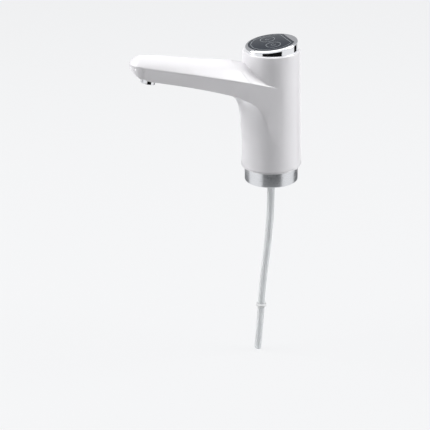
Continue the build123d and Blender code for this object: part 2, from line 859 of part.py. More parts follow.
with BuildPart() as motor_armature:
    with BuildSketch(Plane.XY.offset(stack_bottom)):
        Circle(pole_radius)
        Circle(pole_radius - pole_shoe, mode=Mode.SUBTRACT)
        with PolarLocations(0, pole_count, start_angle=180 / pole_count):
            with Locations((pole_radius, 0)):
                Rectangle(2 * pole_shoe + 1, pole_gap, mode=Mode.SUBTRACT)
        Circle(core_radius)
        with PolarLocations(0, pole_count):
            with Locations(((pole_radius - pole_shoe / 2) / 2, 0)):
                Rectangle(pole_radius - pole_shoe / 2, stem_width)
        Circle(shaft_radius, mode=Mode.SUBTRACT)
    extrude(amount=stack_length)
keep(motor_armature, "motor_armature")

with BuildPart() as motor_windings:
    coil_length = pole_radius - pole_shoe - core_radius - 2 * snug
    coil_middle = core_radius + snug + coil_length / 2
    with BuildSketch(Plane.XY.offset(stack_bottom - winding_overhang + fit)):
        with PolarLocations(0, pole_count):
            with Locations((coil_middle, 0)):
                Rectangle(coil_length, stem_width + 2 * winding_depth)
        Circle(pole_radius - pole_shoe - snug, mode=Mode.INTERSECT)
    extrude(amount=stack_length + 2 * winding_overhang - 2 * fit)
    fillet(motor_windings.edges().filter_by(Axis.Z), 0.8)
    with BuildSketch(Plane.XY.offset(stack_bottom - snug)):
        with PolarLocations(0, pole_count):
            with Locations((coil_middle, 0)):
                Rectangle(coil_length + 1, stem_width + 2 * snug)
    extrude(amount=stack_length + 2 * snug, mode=Mode.SUBTRACT)
keep(motor_windings, "motor_windings")

with BuildPart() as commutator:
    with BuildSketch(Plane.XY.offset(brush_top - brush_height - loose)):
        Circle(commutator_radius)
        Circle(shaft_radius, mode=Mode.SUBTRACT)
        with PolarLocations(commutator_radius, pole_count, start_angle=180 / pole_count):
            Rectangle(1.6, 0.5, mode=Mode.SUBTRACT)
    extrude(amount=brush_height + 2 * loose)
keep(commutator, "commutator")

# ------------------------------------------------------------------ battery and its holder

with BuildPart() as battery_holder:
    # a sleeve over the motor's end, a plate, the cell's tube and a top flange
    with BuildSketch(Plane.XY.offset(motor_top - sleeve_grip)):
        Circle(motor_radius + snug + holder_wall)
        Circle(motor_radius + snug, mode=Mode.SUBTRACT)
    extrude(amount=plate_bottom + sleeve_grip - motor_top)
    with BuildSketch(Plane.XY.offset(plate_bottom)):
        Circle(motor_radius + snug + holder_wall)
        with PolarLocations(terminal_circle, 2):
            Circle(1.4, mode=Mode.SUBTRACT)
    extrude(amount=holder_plate)
    with BuildSketch(Plane.XY.offset(plate_bottom)):
        Circle(battery_radius + snug + holder_wall)
    extrude(amount=flange_bottom - plate_bottom)
    with BuildSketch(Plane.XY.offset(flange_bottom)):
        Circle(bore_radius(flange_bottom + holder_plate) - loose)
        Circle(battery_radius - holder_plate, mode=Mode.SUBTRACT)
    extrude(amount=holder_plate)
    # ribs that centre the holder in the column
    with BuildSketch(Plane.XY.offset(plate_bottom)):
        with PolarLocations(0, 1, start_angle=rib_angle):
            Rectangle(2 * (bore_radius(flange_bottom) - loose), rib_thickness)
        with PolarLocations(0, 1, start_angle=-rib_angle):
            Rectangle(2 * (bore_radius(flange_bottom) - loose), rib_thickness)
    extrude(amount=flange_bottom - plate_bottom)
    # rails with a groove for each edge of the control board
    with BuildSketch(Plane.XY.offset(plate_bottom)):
        for side in (-1, 1):
            with Locations((rail_front, side * rail_middle)):
                Rectangle(
                    board_face + board_thickness + rail_lip - rail_front,
                    rail_thickness + rail_groove,
                    align=(Align.MIN, Align.CENTER),
                )
    extrude(amount=flange_bottom - plate_bottom)
    with BuildSketch(Plane.XY.offset(plate_bottom)):
        with Locations((board_face - snug, 0)):
            Rectangle(board_thickness + 2 * snug, board_width + 2 * snug, align=(Align.MIN, Align.CENTER))
    extrude(amount=flange_bottom - plate_bottom, mode=Mode.SUBTRACT)
    # the cell's room, open towards the board so that the leads come out
    with BuildSketch(Plane.XY.offset(plate_bottom + holder_plate)):
        Circle(battery_radius + snug)
        with Locations((battery_radius, 0)):
            Rectangle(2 * battery_radius, window_width)
    extrude(amount=flange_bottom - plate_bottom - holder_plate, mode=Mode.SUBTRACT)
keep(battery_holder, "battery_holder")

with BuildPart() as battery_cell:
    with BuildSketch(Plane.XY.offset(battery_bottom)):
        Circle(battery_radius)
    extrude(amount=battery_top - battery_bottom)
    chamfer(battery_cell.edges().filter_by(GeomType.CIRCLE), 0.5)
keep(battery_cell, "battery_cell")

with BuildPart() as battery_contacts:
    with BuildSketch(Plane.XY.offset(plate_bottom + holder_plate)):
        Circle(battery_radius - 2)
        Rectangle(2 * battery_radius + 2, 4.0)
        Circle(battery_radius - fit, mode=Mode.INTERSECT)
    extrude(amount=lower_contact)
    with BuildSketch(Plane.XY.offset(battery_top)):
        Circle(battery_radius - fit)
        Circle(2.0, mode=Mode.SUBTRACT)
    extrude(amount=upper_contact)
keep(battery_contacts, "battery_contacts")

# ------------------------------------------------------------------ control board and charging port

with BuildPart() as control_board:
    with BuildSketch(Plane.YZ.offset(board_face)):
        with Locations((0, board_bottom)):
            Rectangle(board_width, board_length, align=(Align.CENTER, Align.MIN))
    extrude(amount=board_thickness)
    with BuildSketch(Plane.YZ.offset(board_face)):
        with Locations((0, board_bottom + 4), (0, board_bottom + board_length - 4)):
            Circle(1.2)
    extrude(amount=board_thickness, mode=Mode.SUBTRACT)
keep(control_board, "control_board")

with BuildPart() as board_parts:
    # chips, an inductor and plugs on the board's inner face
    with BuildSketch(Plane.YZ.offset(board_face)):
        with Locations((2.0, board_bottom + 15)):
            Rectangle(5.0, 6.2)
        with Locations((-5.0, board_bottom + 24)):
            Rectangle(3.0, 4.4)
        with Locations((0, board_bottom + 55)):
            Rectangle(5.0, 5.0)
    extrude(amount=-1.5)
    with BuildSketch(Plane.YZ.offset(board_face)):
        with Locations((4.0, board_bottom + 24)):
            Circle(2.6)
        with Locations((-3.4, board_bottom + 14)):
            Circle(2.0)
    extrude(amount=motor_radius + snug + holder_wall + board_room - board_face)
    with BuildSketch(Plane.YZ.offset(board_face)):
        with Locations((0, board_bottom + 33), (0, board_bottom + 43)):
            Rectangle(8.0, 4.0)
    extrude(amount=-4.2)
keep(board_parts, "board_parts")

port_face = board_face + board_thickness
with BuildPart() as usb_port:
    with BuildSketch(Plane.YZ.offset(port_face)):
        with Locations((0, port_height)):
            RectangleRounded(port_width, port_thickness, port_thickness / 2 - 0.01)
    extrude(amount=port_length)
    with BuildSketch(Plane.YZ.offset(port_face + port_length)):
        with Locations((0, port_height)):
            RectangleRounded(port_width - 0.6, port_thickness - 0.6, port_thickness / 2 - 0.31)
    extrude(amount=-(port_length - 0.6), mode=Mode.SUBTRACT)
    with BuildSketch(Plane.YZ.offset(port_face + 0.5)):
        with Locations((0, port_height)):
            Rectangle(port_width - 2.4, 0.7)
    extrude(amount=port_length - 1.2)
keep(usb_port, "usb_port")

with BuildPart() as port_cover:
    with BuildSketch(Plane.YZ):
        with Locations((0, port_height)):
            RectangleRounded(recess_width - 2 * cover_gap, recess_height - 2 * cover_gap, 1.4)
    extrude(amount=2 * base_radius)
    add(column_core(0), mode=Mode.INTERSECT)
    add(column_core(flap_thickness), mode=Mode.SUBTRACT)
    # the plug behind the flap
    with BuildSketch(Plane.YZ.offset(flap_back)):
        with Locations((0, port_height)):
            RectangleRounded(port_width - 1.0, port_thickness - 0.4, 1.2)
    extrude(amount=column_radius(port_height) - flap_thickness / 2 - flap_back)
keep(port_cover, "port_cover")

# ------------------------------------------------------------------ cap

board_depth = panel_thickness + panel_ledge
bezel_bore = bezel_radius - bezel_wall

with BuildPart() as chrome_bezel:
    with BuildSketch(Plane.XY.offset(bezel_bottom)):
        Circle(bezel_radius)
    extrude(amount=far)
    split(bisect_by=cap_plane, keep=Keep.BOTTOM)
    chamfer(chrome_bezel.faces().sort_by(Axis.Z)[-1].edges(), bezel_bevel, bezel_bevel * 0.8)
    with BuildPart(mode=Mode.PRIVATE) as bezel_room:
        with BuildSketch(Plane.XY.offset(bezel_bottom)):
            Circle(bezel_bore)
        extrude(amount=far)
        split(bisect_by=cap_level(board_depth), keep=Keep.BOTTOM)
    add(bezel_room.part, mode=Mode.SUBTRACT)
    with BuildSketch(cap_level(panel_thickness)):
        add(panel_outline(snug))
    extrude(amount=2 * panel_thickness, mode=Mode.SUBTRACT)
    with BuildSketch(cap_level(board_depth)):
        add(panel_outline(-panel_ledge - 1.0))
    extrude(amount=2 * board_depth, mode=Mode.SUBTRACT)
    with BuildSketch(Plane.XY.offset(bezel_bottom + seal_level - snug)):
        Circle(bezel_radius + loose)
        Circle(bezel_radius - ring_inset - snug, mode=Mode.SUBTRACT)
    extrude(amount=ring_height + 2 * snug, mode=Mode.SUBTRACT)
keep(chrome_bezel, "chrome_bezel")

with BuildPart() as cap_seal:
    with BuildSketch(Plane.XY.offset(bezel_bottom + seal_level)):
        Circle(bezel_radius + snug)
        Circle(bezel_radius - ring_inset, mode=Mode.SUBTRACT)
    extrude(amount=ring_height)
keep(cap_seal, "cap_seal")

with BuildPart() as touch_panel:
    with BuildSketch(cap_level(panel_thickness)):
        add(panel_outline(0))
    extrude(amount=panel_thickness)
keep(touch_panel, "touch_panel")

with BuildPart() as touch_board:
    with BuildSketch(cap_level(board_depth + touch_board_thickness)):
        Circle(bezel_bore - loose - fit)
    extrude(amount=touch_board_thickness)
keep(touch_board, "touch_board")

with BuildPart() as touch_pads:
    with BuildSketch(cap_level(board_depth)):
        with Locations((0, key_offset), (0, -key_offset)):
            Circle(key_radius)
    extrude(amount=panel_ledge)
keep(touch_pads, "touch_pads")

with BuildPart() as cap_carrier:
    with BuildSketch(Plane.XY.offset(carrier_bottom)):
        Circle(bore_radius(bezel_bottom) - fit)
        Circle(carrier_hole, mode=Mode.SUBTRACT)
    extrude(amount=carrier_floor)
    with BuildPart(mode=Mode.PRIVATE) as carrier_wall:
        with BuildSketch(Plane.XY.offset(carrier_bottom)):
            Circle(bezel_bore - loose)
            Circle(bezel_bore - loose - carrier_gauge, mode=Mode.SUBTRACT)
        extrude(amount=far)
        split(bisect_by=cap_level(board_depth + touch_board_thickness), keep=Keep.BOTTOM)
    add(carrier_wall.part)
keep(cap_carrier, "cap_carrier")

# ------------------------------------------------------------------ nozzle and outlet hose

elbow_center = nozzle_plane.offset(-elbow_rise).origin
inlet_plane = Plane(origin=elbow_center, z_dir=nozzle_back)

with BuildPart() as nozzle_elbow:
    with BuildSketch(nozzle_plane.offset(-elbow_rise - elbow_crown)):
        Circle(elbow_body)
    extrude(amount=elbow_rise + elbow_crown + nozzle_length - nozzle_recess)
    chamfer(nozzle_elbow.edges().filter_by(GeomType.CIRCLE).sort_by(Axis.Z)[-1], 1.2)
    with BuildSketch(nozzle_plane.offset(-arm_wall - nozzle_pad - fit)):
        Circle(elbow_body + elbow_lip)
    extrude(amount=-elbow_flange)
    with BuildSketch(inlet_plane):
        Circle(hose_radius)
    extrude(amount=elbow_body + 1.0)
    with Locations(inlet_plane.offset(elbow_body + 1.0).location):
        add(barb(outlet_barb))
    # the water's way: in along the arm, down through the nozzle
    with BuildSketch(inlet_plane):
        Circle(barb_bore)
    extrude(amount=elbow_body + outlet_barb + 2.0, mode=Mode.SUBTRACT)
    with BuildSketch(nozzle_plane.offset(-elbow_rise - barb_bore - 0.6)):
        Circle(flow_radius)
    extrude(amount=2 * elbow_rise, mode=Mode.SUBTRACT)
    with BuildSketch(nozzle_plane.offset(nozzle_length - nozzle_recess)):
        Circle(straightener_radius + snug)
    extrude(amount=-straightener_height - snug, mode=Mode.SUBTRACT)
keep(nozzle_elbow, "nozzle_elbow")

with BuildPart() as flow_straightener:
    with BuildSketch(nozzle_plane.offset(nozzle_length - nozzle_recess)):
        Circle(straightener_radius)
        Circle(0.8, mode=Mode.SUBTRACT)
        with PolarLocations(straightener_radius * 0.6, 6):
            Circle(0.9, mode=Mode.SUBTRACT)
    extrude(amount=-straightener_height)
keep(flow_straightener, "flow_straightener")

with BuildPart() as nozzle_ring:
    with BuildSketch(nozzle_plane.offset(fit)):
        Circle(nozzle_radius)
    extrude(amount=nozzle_length - fit)
    chamfer(nozzle_ring.edges().filter_by(GeomType.CIRCLE).sort_by(Axis.Z)[0], 0.5)
    with BuildSketch(nozzle_plane.offset(-nozzle_seat + fit)):
        Circle(nozzle_radius - nozzle_step)
    extrude(amount=nozzle_seat)
    with BuildSketch(nozzle_plane.offset(-nozzle_seat)):
        Circle(elbow_body + snug)
    extrude(amount=nozzle_length + 2 * nozzle_seat, mode=Mode.SUBTRACT)
keep(nozzle_ring, "nozzle_ring")

outlet_start = Vector(-outlet_reach, -outlet_offset, elbow_top + fit)
outlet_end = elbow_center + nozzle_back * (elbow_body + 1.0 + fit)
outlet_points = (
    (-outlet_reach, -outlet_offset, elbow_top + 26.0),
    (-outlet_reach - 1.0, 0.0, elbow_top + 46.0),
    (-outlet_reach - 5.5, 0.0, elbow_top + 65.0),
)
outlet_last = outlet_end + nozzle_back * 62.0
with BuildPart() as outlet_hose:
    add(hose((outlet_start, *outlet_points, outlet_last, outlet_end)))
keep(outlet_hose, "outlet_hose")

# ------------------------------------------------------------------ suction hose in the bottle

connector_axis = (Vector(*connector_at) - Vector(*suction_points[-1])).normalized()
connector_top = Vector(*connector_at) - connector_axis * connector_thickness / 2
connector_end = Vector(*connector_at) + connector_axis * connector_thickness / 2

with BuildPart() as suction_hose_upper:
    add(hose(((0, 0, -suction_top), *suction_points, connector_top)))
keep(suction_hose_upper, "suction_hose_upper")

with BuildPart() as hose_connector:
    with BuildSketch(Plane(origin=connector_top, z_dir=connector_axis)):
        Circle(connector_flange)
    extrude(amount=connector_thickness)
    chamfer(hose_connector.edges().filter_by(GeomType.CIRCLE), 0.6)
    with Locations(Plane(origin=connector_top, z_dir=-connector_axis).location):
        add(barb(connector_barb))
    with Locations(Plane(origin=connector_end, z_dir=connector_axis).location):
        add(barb(connector_barb))
    with BuildSketch(Plane(origin=connector_top, z_dir=connector_axis)):
        Circle(barb_bore)
    extrude(amount=connector_thickness + 2 * connector_barb, both=True, mode=Mode.SUBTRACT)
keep(hose_connector, "hose_connector")

lower_start = connector_end + connector_axis * lower_first_run
with BuildPart() as suction_hose_lower:
    add(hose((connector_end, lower_start, *lower_points, lower_end)))
keep(suction_hose_lower, "suction_hose_lower")
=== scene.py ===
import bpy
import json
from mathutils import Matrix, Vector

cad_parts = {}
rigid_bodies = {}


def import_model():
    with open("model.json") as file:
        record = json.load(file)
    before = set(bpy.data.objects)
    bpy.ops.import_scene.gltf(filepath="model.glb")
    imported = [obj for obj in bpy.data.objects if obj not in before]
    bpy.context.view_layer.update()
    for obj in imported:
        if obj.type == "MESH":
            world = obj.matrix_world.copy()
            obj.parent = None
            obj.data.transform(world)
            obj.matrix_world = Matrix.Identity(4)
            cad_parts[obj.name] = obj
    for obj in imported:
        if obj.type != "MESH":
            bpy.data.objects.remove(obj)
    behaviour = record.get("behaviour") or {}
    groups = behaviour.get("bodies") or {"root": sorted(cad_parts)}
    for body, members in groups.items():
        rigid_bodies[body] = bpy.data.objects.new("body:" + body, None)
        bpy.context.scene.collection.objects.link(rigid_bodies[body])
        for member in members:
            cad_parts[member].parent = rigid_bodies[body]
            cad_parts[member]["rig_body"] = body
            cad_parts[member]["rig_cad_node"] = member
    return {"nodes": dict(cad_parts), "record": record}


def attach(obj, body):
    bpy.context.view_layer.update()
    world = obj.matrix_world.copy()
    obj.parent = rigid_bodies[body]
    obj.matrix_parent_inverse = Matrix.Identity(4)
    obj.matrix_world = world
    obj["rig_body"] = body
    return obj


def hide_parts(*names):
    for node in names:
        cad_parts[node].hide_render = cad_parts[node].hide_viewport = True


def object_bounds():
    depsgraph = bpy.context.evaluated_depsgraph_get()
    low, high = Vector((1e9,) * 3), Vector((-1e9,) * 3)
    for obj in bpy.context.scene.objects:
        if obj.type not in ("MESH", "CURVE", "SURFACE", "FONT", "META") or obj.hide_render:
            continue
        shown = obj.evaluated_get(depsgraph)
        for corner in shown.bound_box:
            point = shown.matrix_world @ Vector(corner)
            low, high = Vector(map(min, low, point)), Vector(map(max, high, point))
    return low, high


bl_info = {
    "name": "Bottle Dispenser Pump",
    "version": (1, 0, 0),
    "blender": (4, 5, 0),
    "location": "3D View > Sidebar > Dispenser",
    "description": "Builds the pieces, finishes and stage of a dispenser pump for a large water bottle",
    "category": "Add Mesh",
}

import json
import math

import bmesh
import bpy
from mathutils import Matrix, Vector

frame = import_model()
cad_box = [list(corner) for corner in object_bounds()]
nodes = frame["nodes"]

MM = 0.001
PRINT = 0.03 * MM  # thickness of printed ink
QUARTER = [math.radians(15 * i) for i in range(7)]  # angles of the points on a rounded corner


# ---------------------------------------------------------------- sizes and colours


def length(name, default, description):
    """A length property, given in millimetres."""
    return bpy.props.FloatProperty(
        name=name, description=description, default=default * MM, unit="LENGTH", precision=5
    )


def colour(name, default, description):
    """A colour property."""
    return bpy.props.FloatVectorProperty(
        name=name, description=description, default=default, subtype="COLOR", min=0, max=1
    )


def power(name, default, description):
    """The power of a lamp, in watts."""
    return bpy.props.FloatProperty(
        name=name, description=description, default=default, subtype="POWER", min=0
    )


class DispenserSizes(bpy.types.PropertyGroup):
    """Sizes of the pieces that are modelled here."""

    column_radius: length("Column radius", 26.3, "Radius of the column below its rim")
    column_rim: length("Column rim", 104.0, "Height from which the column's wall keeps its shape")
    crown_width: length("Crown width", 26.77, "Half the width of the arm's crown at the axis")
    crown_taper: bpy.props.FloatProperty(
        name="Crown taper", description="How much narrower the crown gets along the arm", default=0.1166
    )
    crown_foot: length("Crown foot", 82.0, "Height of the line below the crown's edge, at the axis")
    crown_slope: bpy.props.FloatProperty(
        name="Crown slope", description="How much that line rises along the arm", default=0.234
    )
    crown_reach: length("Crown reach", 121.8, "Distance from the axis to the middle of the arm's round end")
    crown_rise: length("Crown rise", 11.0, "Height of the crown over its edges in the middle of the arm")
    shoulder_rise: length("Shoulder rise", 4.5, "How far the crown rises towards the column")
    chin_drop: length("Chin drop", 1.9, "How far the underside of the arm's round end bulges")
    bezel_radius: length("Bezel radius", 24.25, "Outside radius of the chrome bezel")
    bezel_bottom: length("Bezel bottom", 106.0, "Height of the bezel's lower edge")
    bezel_top: length("Bezel top", 119.0, "Height of the bezel's top on the axis")
    bezel_round: length("Bezel round", 2.2, "Rounding of the bezel's upper edge")
    bezel_bore: length("Bezel bore", 22.05, "Inside radius of the bezel")
    cap_tilt: bpy.props.FloatProperty(
        name="Cap tilt",
        description="Lean of the cap towards the spout",
        default=math.radians(6.8),
        subtype="ANGLE",
    )
    panel_radius: length("Panel radius", 21.6, "Radius of the touch panel")
    panel_chord: length("Panel chord", 17.1, "Distance from the axis to the panel's straight edge")
    panel_thickness: length("Panel thickness", 1.7, "Thickness of the touch panel")
    line_inset: length("Line inset", 2.4, "Distance of the printed line from the panel's edge")
    line_width: length("Line width", 0.6, "Width of the printed lines")
    key_radius: length("Key radius", 6.6, "Radius of the ring printed round each touch key")
    near_key: length("Near key", 7.2, "Distance of the near touch key from the middle")
    far_key: length("Far key", 9.8, "Distance of the far touch key from the middle")
    sleeve_radius: length("Sleeve radius", 25.2, "Outside radius of the steel neck sleeve")
    sleeve_depth: length("Sleeve depth", 15.0, "Depth of the neck sleeve below the rim")
    nozzle_radius: length("Nozzle radius", 6.9, "Outside radius of the nozzle's ring")
    nozzle_bore: length("Nozzle bore", 5.65, "Inside radius of the nozzle's ring")
    nozzle_length: length("Nozzle length", 4.5, "How far the nozzle's ring stands out")
    hose_radius: length("Hose radius", 3.5, "Outside radius of the hoses")
    hose_wall: length("Hose wall", 1.0, "Wall thickness of the hoses")


class DispenserColours(bpy.types.PropertyGroup):
    """Colours of the finishes."""

    body: colour("Body", (0.80, 0.79, 0.81), "White moulded plastic of the body")
    panel: colour("Panel", (0.020, 0.025, 0.034), "Dark touch panel")
    print_ink: colour("Print", (0.22, 0.235, 0.25), "Lines printed on the touch panel")
    chrome: colour("Chrome", (0.86, 0.865, 0.88), "Chrome of the bezel and the nozzle")
    steel: colour("Steel", (0.80, 0.81, 0.83), "Polished steel of the neck sleeve")
    silicone: colour("Silicone", (0.90, 0.92, 0.93), "Clear silicone of the hoses")
    flap: colour("Flap", (0.70, 0.705, 0.715), "Soft rubber of the charging flap")
    backdrop: colour("Backdrop", (0.90, 0.905, 0.915), "Pale floor and backdrop")


class DispenserLights(bpy.types.PropertyGroup):
    """Strengths of the studio lamps."""

    top: power("Top", 7.0, "Power of the overhead softbox")
    high: power("High", 3.6, "Power of the high softbox in front")
    right: power("Right", 23.7, "Power of the right softbox")
    left: power("Left", 20.8, "Power of the left softbox")
    fill: bpy.props.FloatProperty(
        name="Fill", description="Strength of the even fill light", default=0.02, min=0
    )


# ---------------------------------------------------------------- modelling helpers


def rest():
    """Leave edit mode and deselect everything."""
    if bpy.context.object and bpy.context.object.mode != "OBJECT":
        bpy.ops.object.mode_set(mode="OBJECT")
    bpy.ops.object.select_all(action="DESELECT")


def only(piece):
    """Select one piece alone and make it active."""
    rest()
    piece.select_set(True)
    bpy.context.view_layer.objects.active = piece


def open_mesh(piece):
    """Start editing a piece, with nothing selected."""
    only(piece)
    bpy.ops.object.mode_set(mode="EDIT")
    bpy.ops.mesh.select_mode(type="FACE")
    bpy.ops.mesh.select_all(action="DESELECT")


def close_mesh():
    """Stop editing."""
    bpy.ops.object.mode_set(mode="OBJECT")


def pick(piece, kind, test):
    """Select the faces, edges or verts of the mesh being edited that pass a test."""
    bpy.ops.mesh.select_mode(type={"faces": "FACE", "edges": "EDGE", "verts": "VERT"}[kind])
    bpy.ops.mesh.select_all(action="DESELECT")
    mesh = bmesh.from_edit_mesh(piece.data)
    chosen = [element for element in getattr(mesh, kind) if test(element)]
    if not chosen:
        raise RuntimeError(f"{piece.name}: no {kind} found")
    for element in chosen:
        element.select_set(True)
    mesh.select_flush_mode()
    bmesh.update_edit_mesh(piece.data)


def mend(piece, distance=0.01 * MM):
    """Merge doubles and point all faces outwards."""
    open_mesh(piece)
    bpy.ops.mesh.select_all(action="SELECT")
    bpy.ops.mesh.remove_doubles(threshold=distance)
    bpy.ops.mesh.normals_make_consistent(inside=False)
    close_mesh()


def modify(piece, kind, **settings):
    """Add a modifier and apply it."""
    only(piece)
    modifier = piece.modifiers.new(kind.title(), kind)
    for name, value in settings.items():
        setattr(modifier, name, value)
    bpy.ops.object.modifier_apply(modifier=modifier.name)


def soften(piece, width, segments=3, angle=35):
    """Round the sharp edges of a piece and shade it smooth."""
    modify(
        piece,
        "BEVEL",
        width=width,
        segments=segments,
        limit_method="ANGLE",
        angle_limit=math.radians(angle),
        harden_normals=False,
    )
    smooth(piece)


def smooth(piece, angle=35):
    """Shade smooth, with edges sharper than an angle kept sharp."""
    only(piece)
    bpy.ops.object.shade_smooth_by_angle(angle=math.radians(angle))


def place(piece, location=(0, 0, 0), z_axis=(0, 0, 1), x_axis=(1, 0, 0)):
    """Put a piece in its place and keep that place in its mesh."""
    z = Vector(z_axis).normalized()
    x = (Vector(x_axis) - z * Vector(x_axis).dot(z)).normalized()
    y = z.cross(x)
    piece.matrix_world = Matrix.Translation(location) @ Matrix((x, y, z)).transposed().to_4x4()
    only(piece)
    bpy.ops.object.transform_apply(location=True, rotation=True, scale=True)


def turn(name, outline, steps=96, angle=2 * math.pi):
    """A turned piece: an outline of (radius, height) spun about the Z axis, all the way or by an angle."""
    rest()
    bpy.ops.mesh.primitive_plane_add(size=1 * MM)
    piece = bpy.context.object
    piece.name = piece.data.name = name
    bpy.ops.object.mode_set(mode="EDIT")
    bpy.ops.mesh.select_mode(type="VERT")
    bpy.ops.mesh.select_all(action="SELECT")
    bpy.ops.mesh.merge(type="CENTER")
    bpy.ops.transform.translate(value=(outline[0][0], 0, outline[0][1]))
    for (r, z), (next_r, next_z) in zip(outline, outline[1:]):
        bpy.ops.mesh.extrude_region_move(
            TRANSFORM_OT_translate={"value": (next_r - r, 0, next_z - z)}
        )
    bpy.ops.mesh.select_all(action="SELECT")
    bpy.ops.mesh.spin(steps=steps, angle=angle, center=(0, 0, 0), axis=(0, 0, 1))
    close_mesh()
    mend(piece)
    return piece


def closed(outline):
    """An outline that ends where it starts."""
    return list(outline) + [outline[0]]


def copy_of(node, name):
    """A merged copy of one of the frame's solids, on its own."""
    only(nodes[node])
    bpy.ops.object.duplicate()
    piece = bpy.context.object
    piece.parent = None
    piece.name = piece.data.name = name
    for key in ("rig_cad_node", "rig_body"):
        if key in piece:
            del piece[key]
    open_mesh(piece)
    bpy.ops.mesh.select_all(action="SELECT")
    bpy.ops.mesh.remove_doubles(threshold=0.001 * MM)
    close_mesh()
    return piece


def polish(piece):
    """Shade a copied solid smooth, with even light over its large faces."""
    smooth(piece, 30)
    modify(piece, "WEIGHTED_NORMAL", mode="FACE_AREA", weight=50, keep_sharp=True)


def ease(value, start, end):
    """A smooth step from 0 at start to 1 at end."""
    t = min(1, max(0, (value - start) / (end - start)))
    return t * t * (3 - 2 * t)


def swell(piece, name, height, share):
    """Raise a piece by a height times each vert's share, which is painted as its weight."""
    group = piece.vertex_groups.new(name=name)
    for vert in piece.data.vertices:
        group.add([vert.index], share(vert.co), "REPLACE")
    modify(piece, "DISPLACE", strength=height, direction="Z", mid_level=0, vertex_group=name)
    piece.vertex_groups.remove(piece.vertex_groups[name])


def cut_away(piece, cutter):
    """Cut one piece out of another and remove the cutter."""
    modify(piece, "BOOLEAN", object=cutter, operation="DIFFERENCE", solver="EXACT")
    bpy.data.objects.remove(cutter)


def dress(piece, material, body="pump", stands_for=()):
    """Give a piece its finish, the body it rides on and the solids it stands for."""
    piece.data.materials.clear()
    piece.data.materials.append(material)
    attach(piece, body)
    if stands_for:
        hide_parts(*stands_for)
    return piece


# ---------------------------------------------------------------- finishes


class NodeTree:
    """Nodes and links of a material or a world."""

    def __init__(self, owner):
        owner.use_nodes = True
        self.tree = owner.node_tree
        self.tree.nodes.clear()

    def node(self, kind, **settings):
        """A node, with its properties and its input values."""
        made = self.tree.nodes.new(kind)
        for name, value in settings.items():
            socket = name.replace("_", " ")
            if hasattr(made, name):
                setattr(made, name, value)
            else:
                made.inputs[socket].default_value = value
        return made

    def link(self, output, node, socket):
        """Join an output to a node's input."""
        self.tree.links.new(output, node.inputs[socket])

    def between(self, factor, low, high, start=0.3, end=0.7):
        """A number that goes from low to high as a factor goes from start to end."""
        ranged = self.node("ShaderNodeMapRange", From_Min=start, From_Max=end, To_Min=low, To_Max=high)
        self.link(factor, ranged, "Value")
        return ranged.outputs[0]

    def most(self, *factors):
        """The largest of some numbers."""
        largest = factors[0]
        for factor in factors[1:]:
            pair = self.node("ShaderNodeMath", operation="MAXIMUM")
            self.link(largest, pair, 0)
            self.link(factor, pair, 1)
            largest = pair.outputs[0]
        return largest


class Finish(NodeTree):
    """A node material that is built up from a Principled shader."""

    def __init__(self, name, **sockets):
        self.material = bpy.data.materials.new(name)
        super().__init__(self.material)
        self.output = self.node("ShaderNodeOutputMaterial")
        self.shader = self.node("ShaderNodeBsdfPrincipled")
        self.tree.links.new(self.shader.outputs[0], self.output.inputs["Surface"])
        self.place = self.node("ShaderNodeTexCoord").outputs["Object"]
        for socket, value in sockets.items():
            self.shader.inputs[socket.replace("_", " ")].default_value = value

    def mapping(self, scale):
        """Object coordinates, stretched."""
        mapping = self.node("ShaderNodeMapping", Scale=scale)
        self.link(self.place, mapping, "Vector")
        return mapping.outputs[0]

    def noise(self, scale, detail=3.0, stretch=(1, 1, 1), rough=0.5):
        """Noise over the piece, from 0 to 1."""
        noise = self.node("ShaderNodeTexNoise", Scale=scale, Detail=detail, Roughness=rough)
        self.link(self.mapping(stretch), noise, "Vector")
        return noise.outputs["Fac"]

    def blend(self, factor, first, second):
        """A colour between two colours."""
        mix = self.node("ShaderNodeMix", data_type="RGBA")
        self.link(factor, mix, "Factor")
        for socket, value in (("A", first), ("B", second)):
            found = [s for s in mix.inputs if s.name == socket and s.type == "RGBA"][0]
            if hasattr(value, "links"):
                self.tree.links.new(value, found)
            else:
                found.default_value = (*value, 1)
        return [s for s in mix.outputs if s.type == "RGBA"][0]

    def colour(self, output):
        """Colour the piece."""
        self.link(output, self.shader, "Base Color")

    def roughness(self, output):
        """Roughen the piece."""
        self.link(output, self.shader, "Roughness")

    def bump(self, height, distance, strength=1.0):
        """Bump from a height between 0 and 1, distance deep. Bumps add up."""
        bump = self.node("ShaderNodeBump", Strength=strength, Distance=distance)
        self.link(height, bump, "Height")
        found = self.shader.inputs["Normal"]
        if found.is_linked:
            self.tree.links.new(found.links[0].from_socket, bump.inputs["Normal"])
        self.link(bump.outputs[0], self.shader, "Normal")


def shade(colour, factor):
    """A colour made lighter or darker."""
    return tuple(min(1, c * factor) for c in colour)


def moulded_plastic(name, colour, rough=0.28, grain=0.004, vary=0.13, coat=0.0):
    """Injection-moulded plastic with a faint flow pattern and a fine skin."""
    finish = Finish(name, Specular_IOR_Level=0.5, Coat_Weight=coat, Coat_Roughness=0.08)
    cloud = finish.noise(38, 2)
    finish.colour(finish.blend(finish.between(cloud, 0, 1), shade(colour, 0.985), shade(colour, 1.0)))
    finish.roughness(finish.between(finish.noise(160, 4), rough * (1 - vary), rough * (1 + vary)))
    if grain:
        finish.bump(finish.noise(2600, 2), grain * MM, 0.5)
    return finish.material


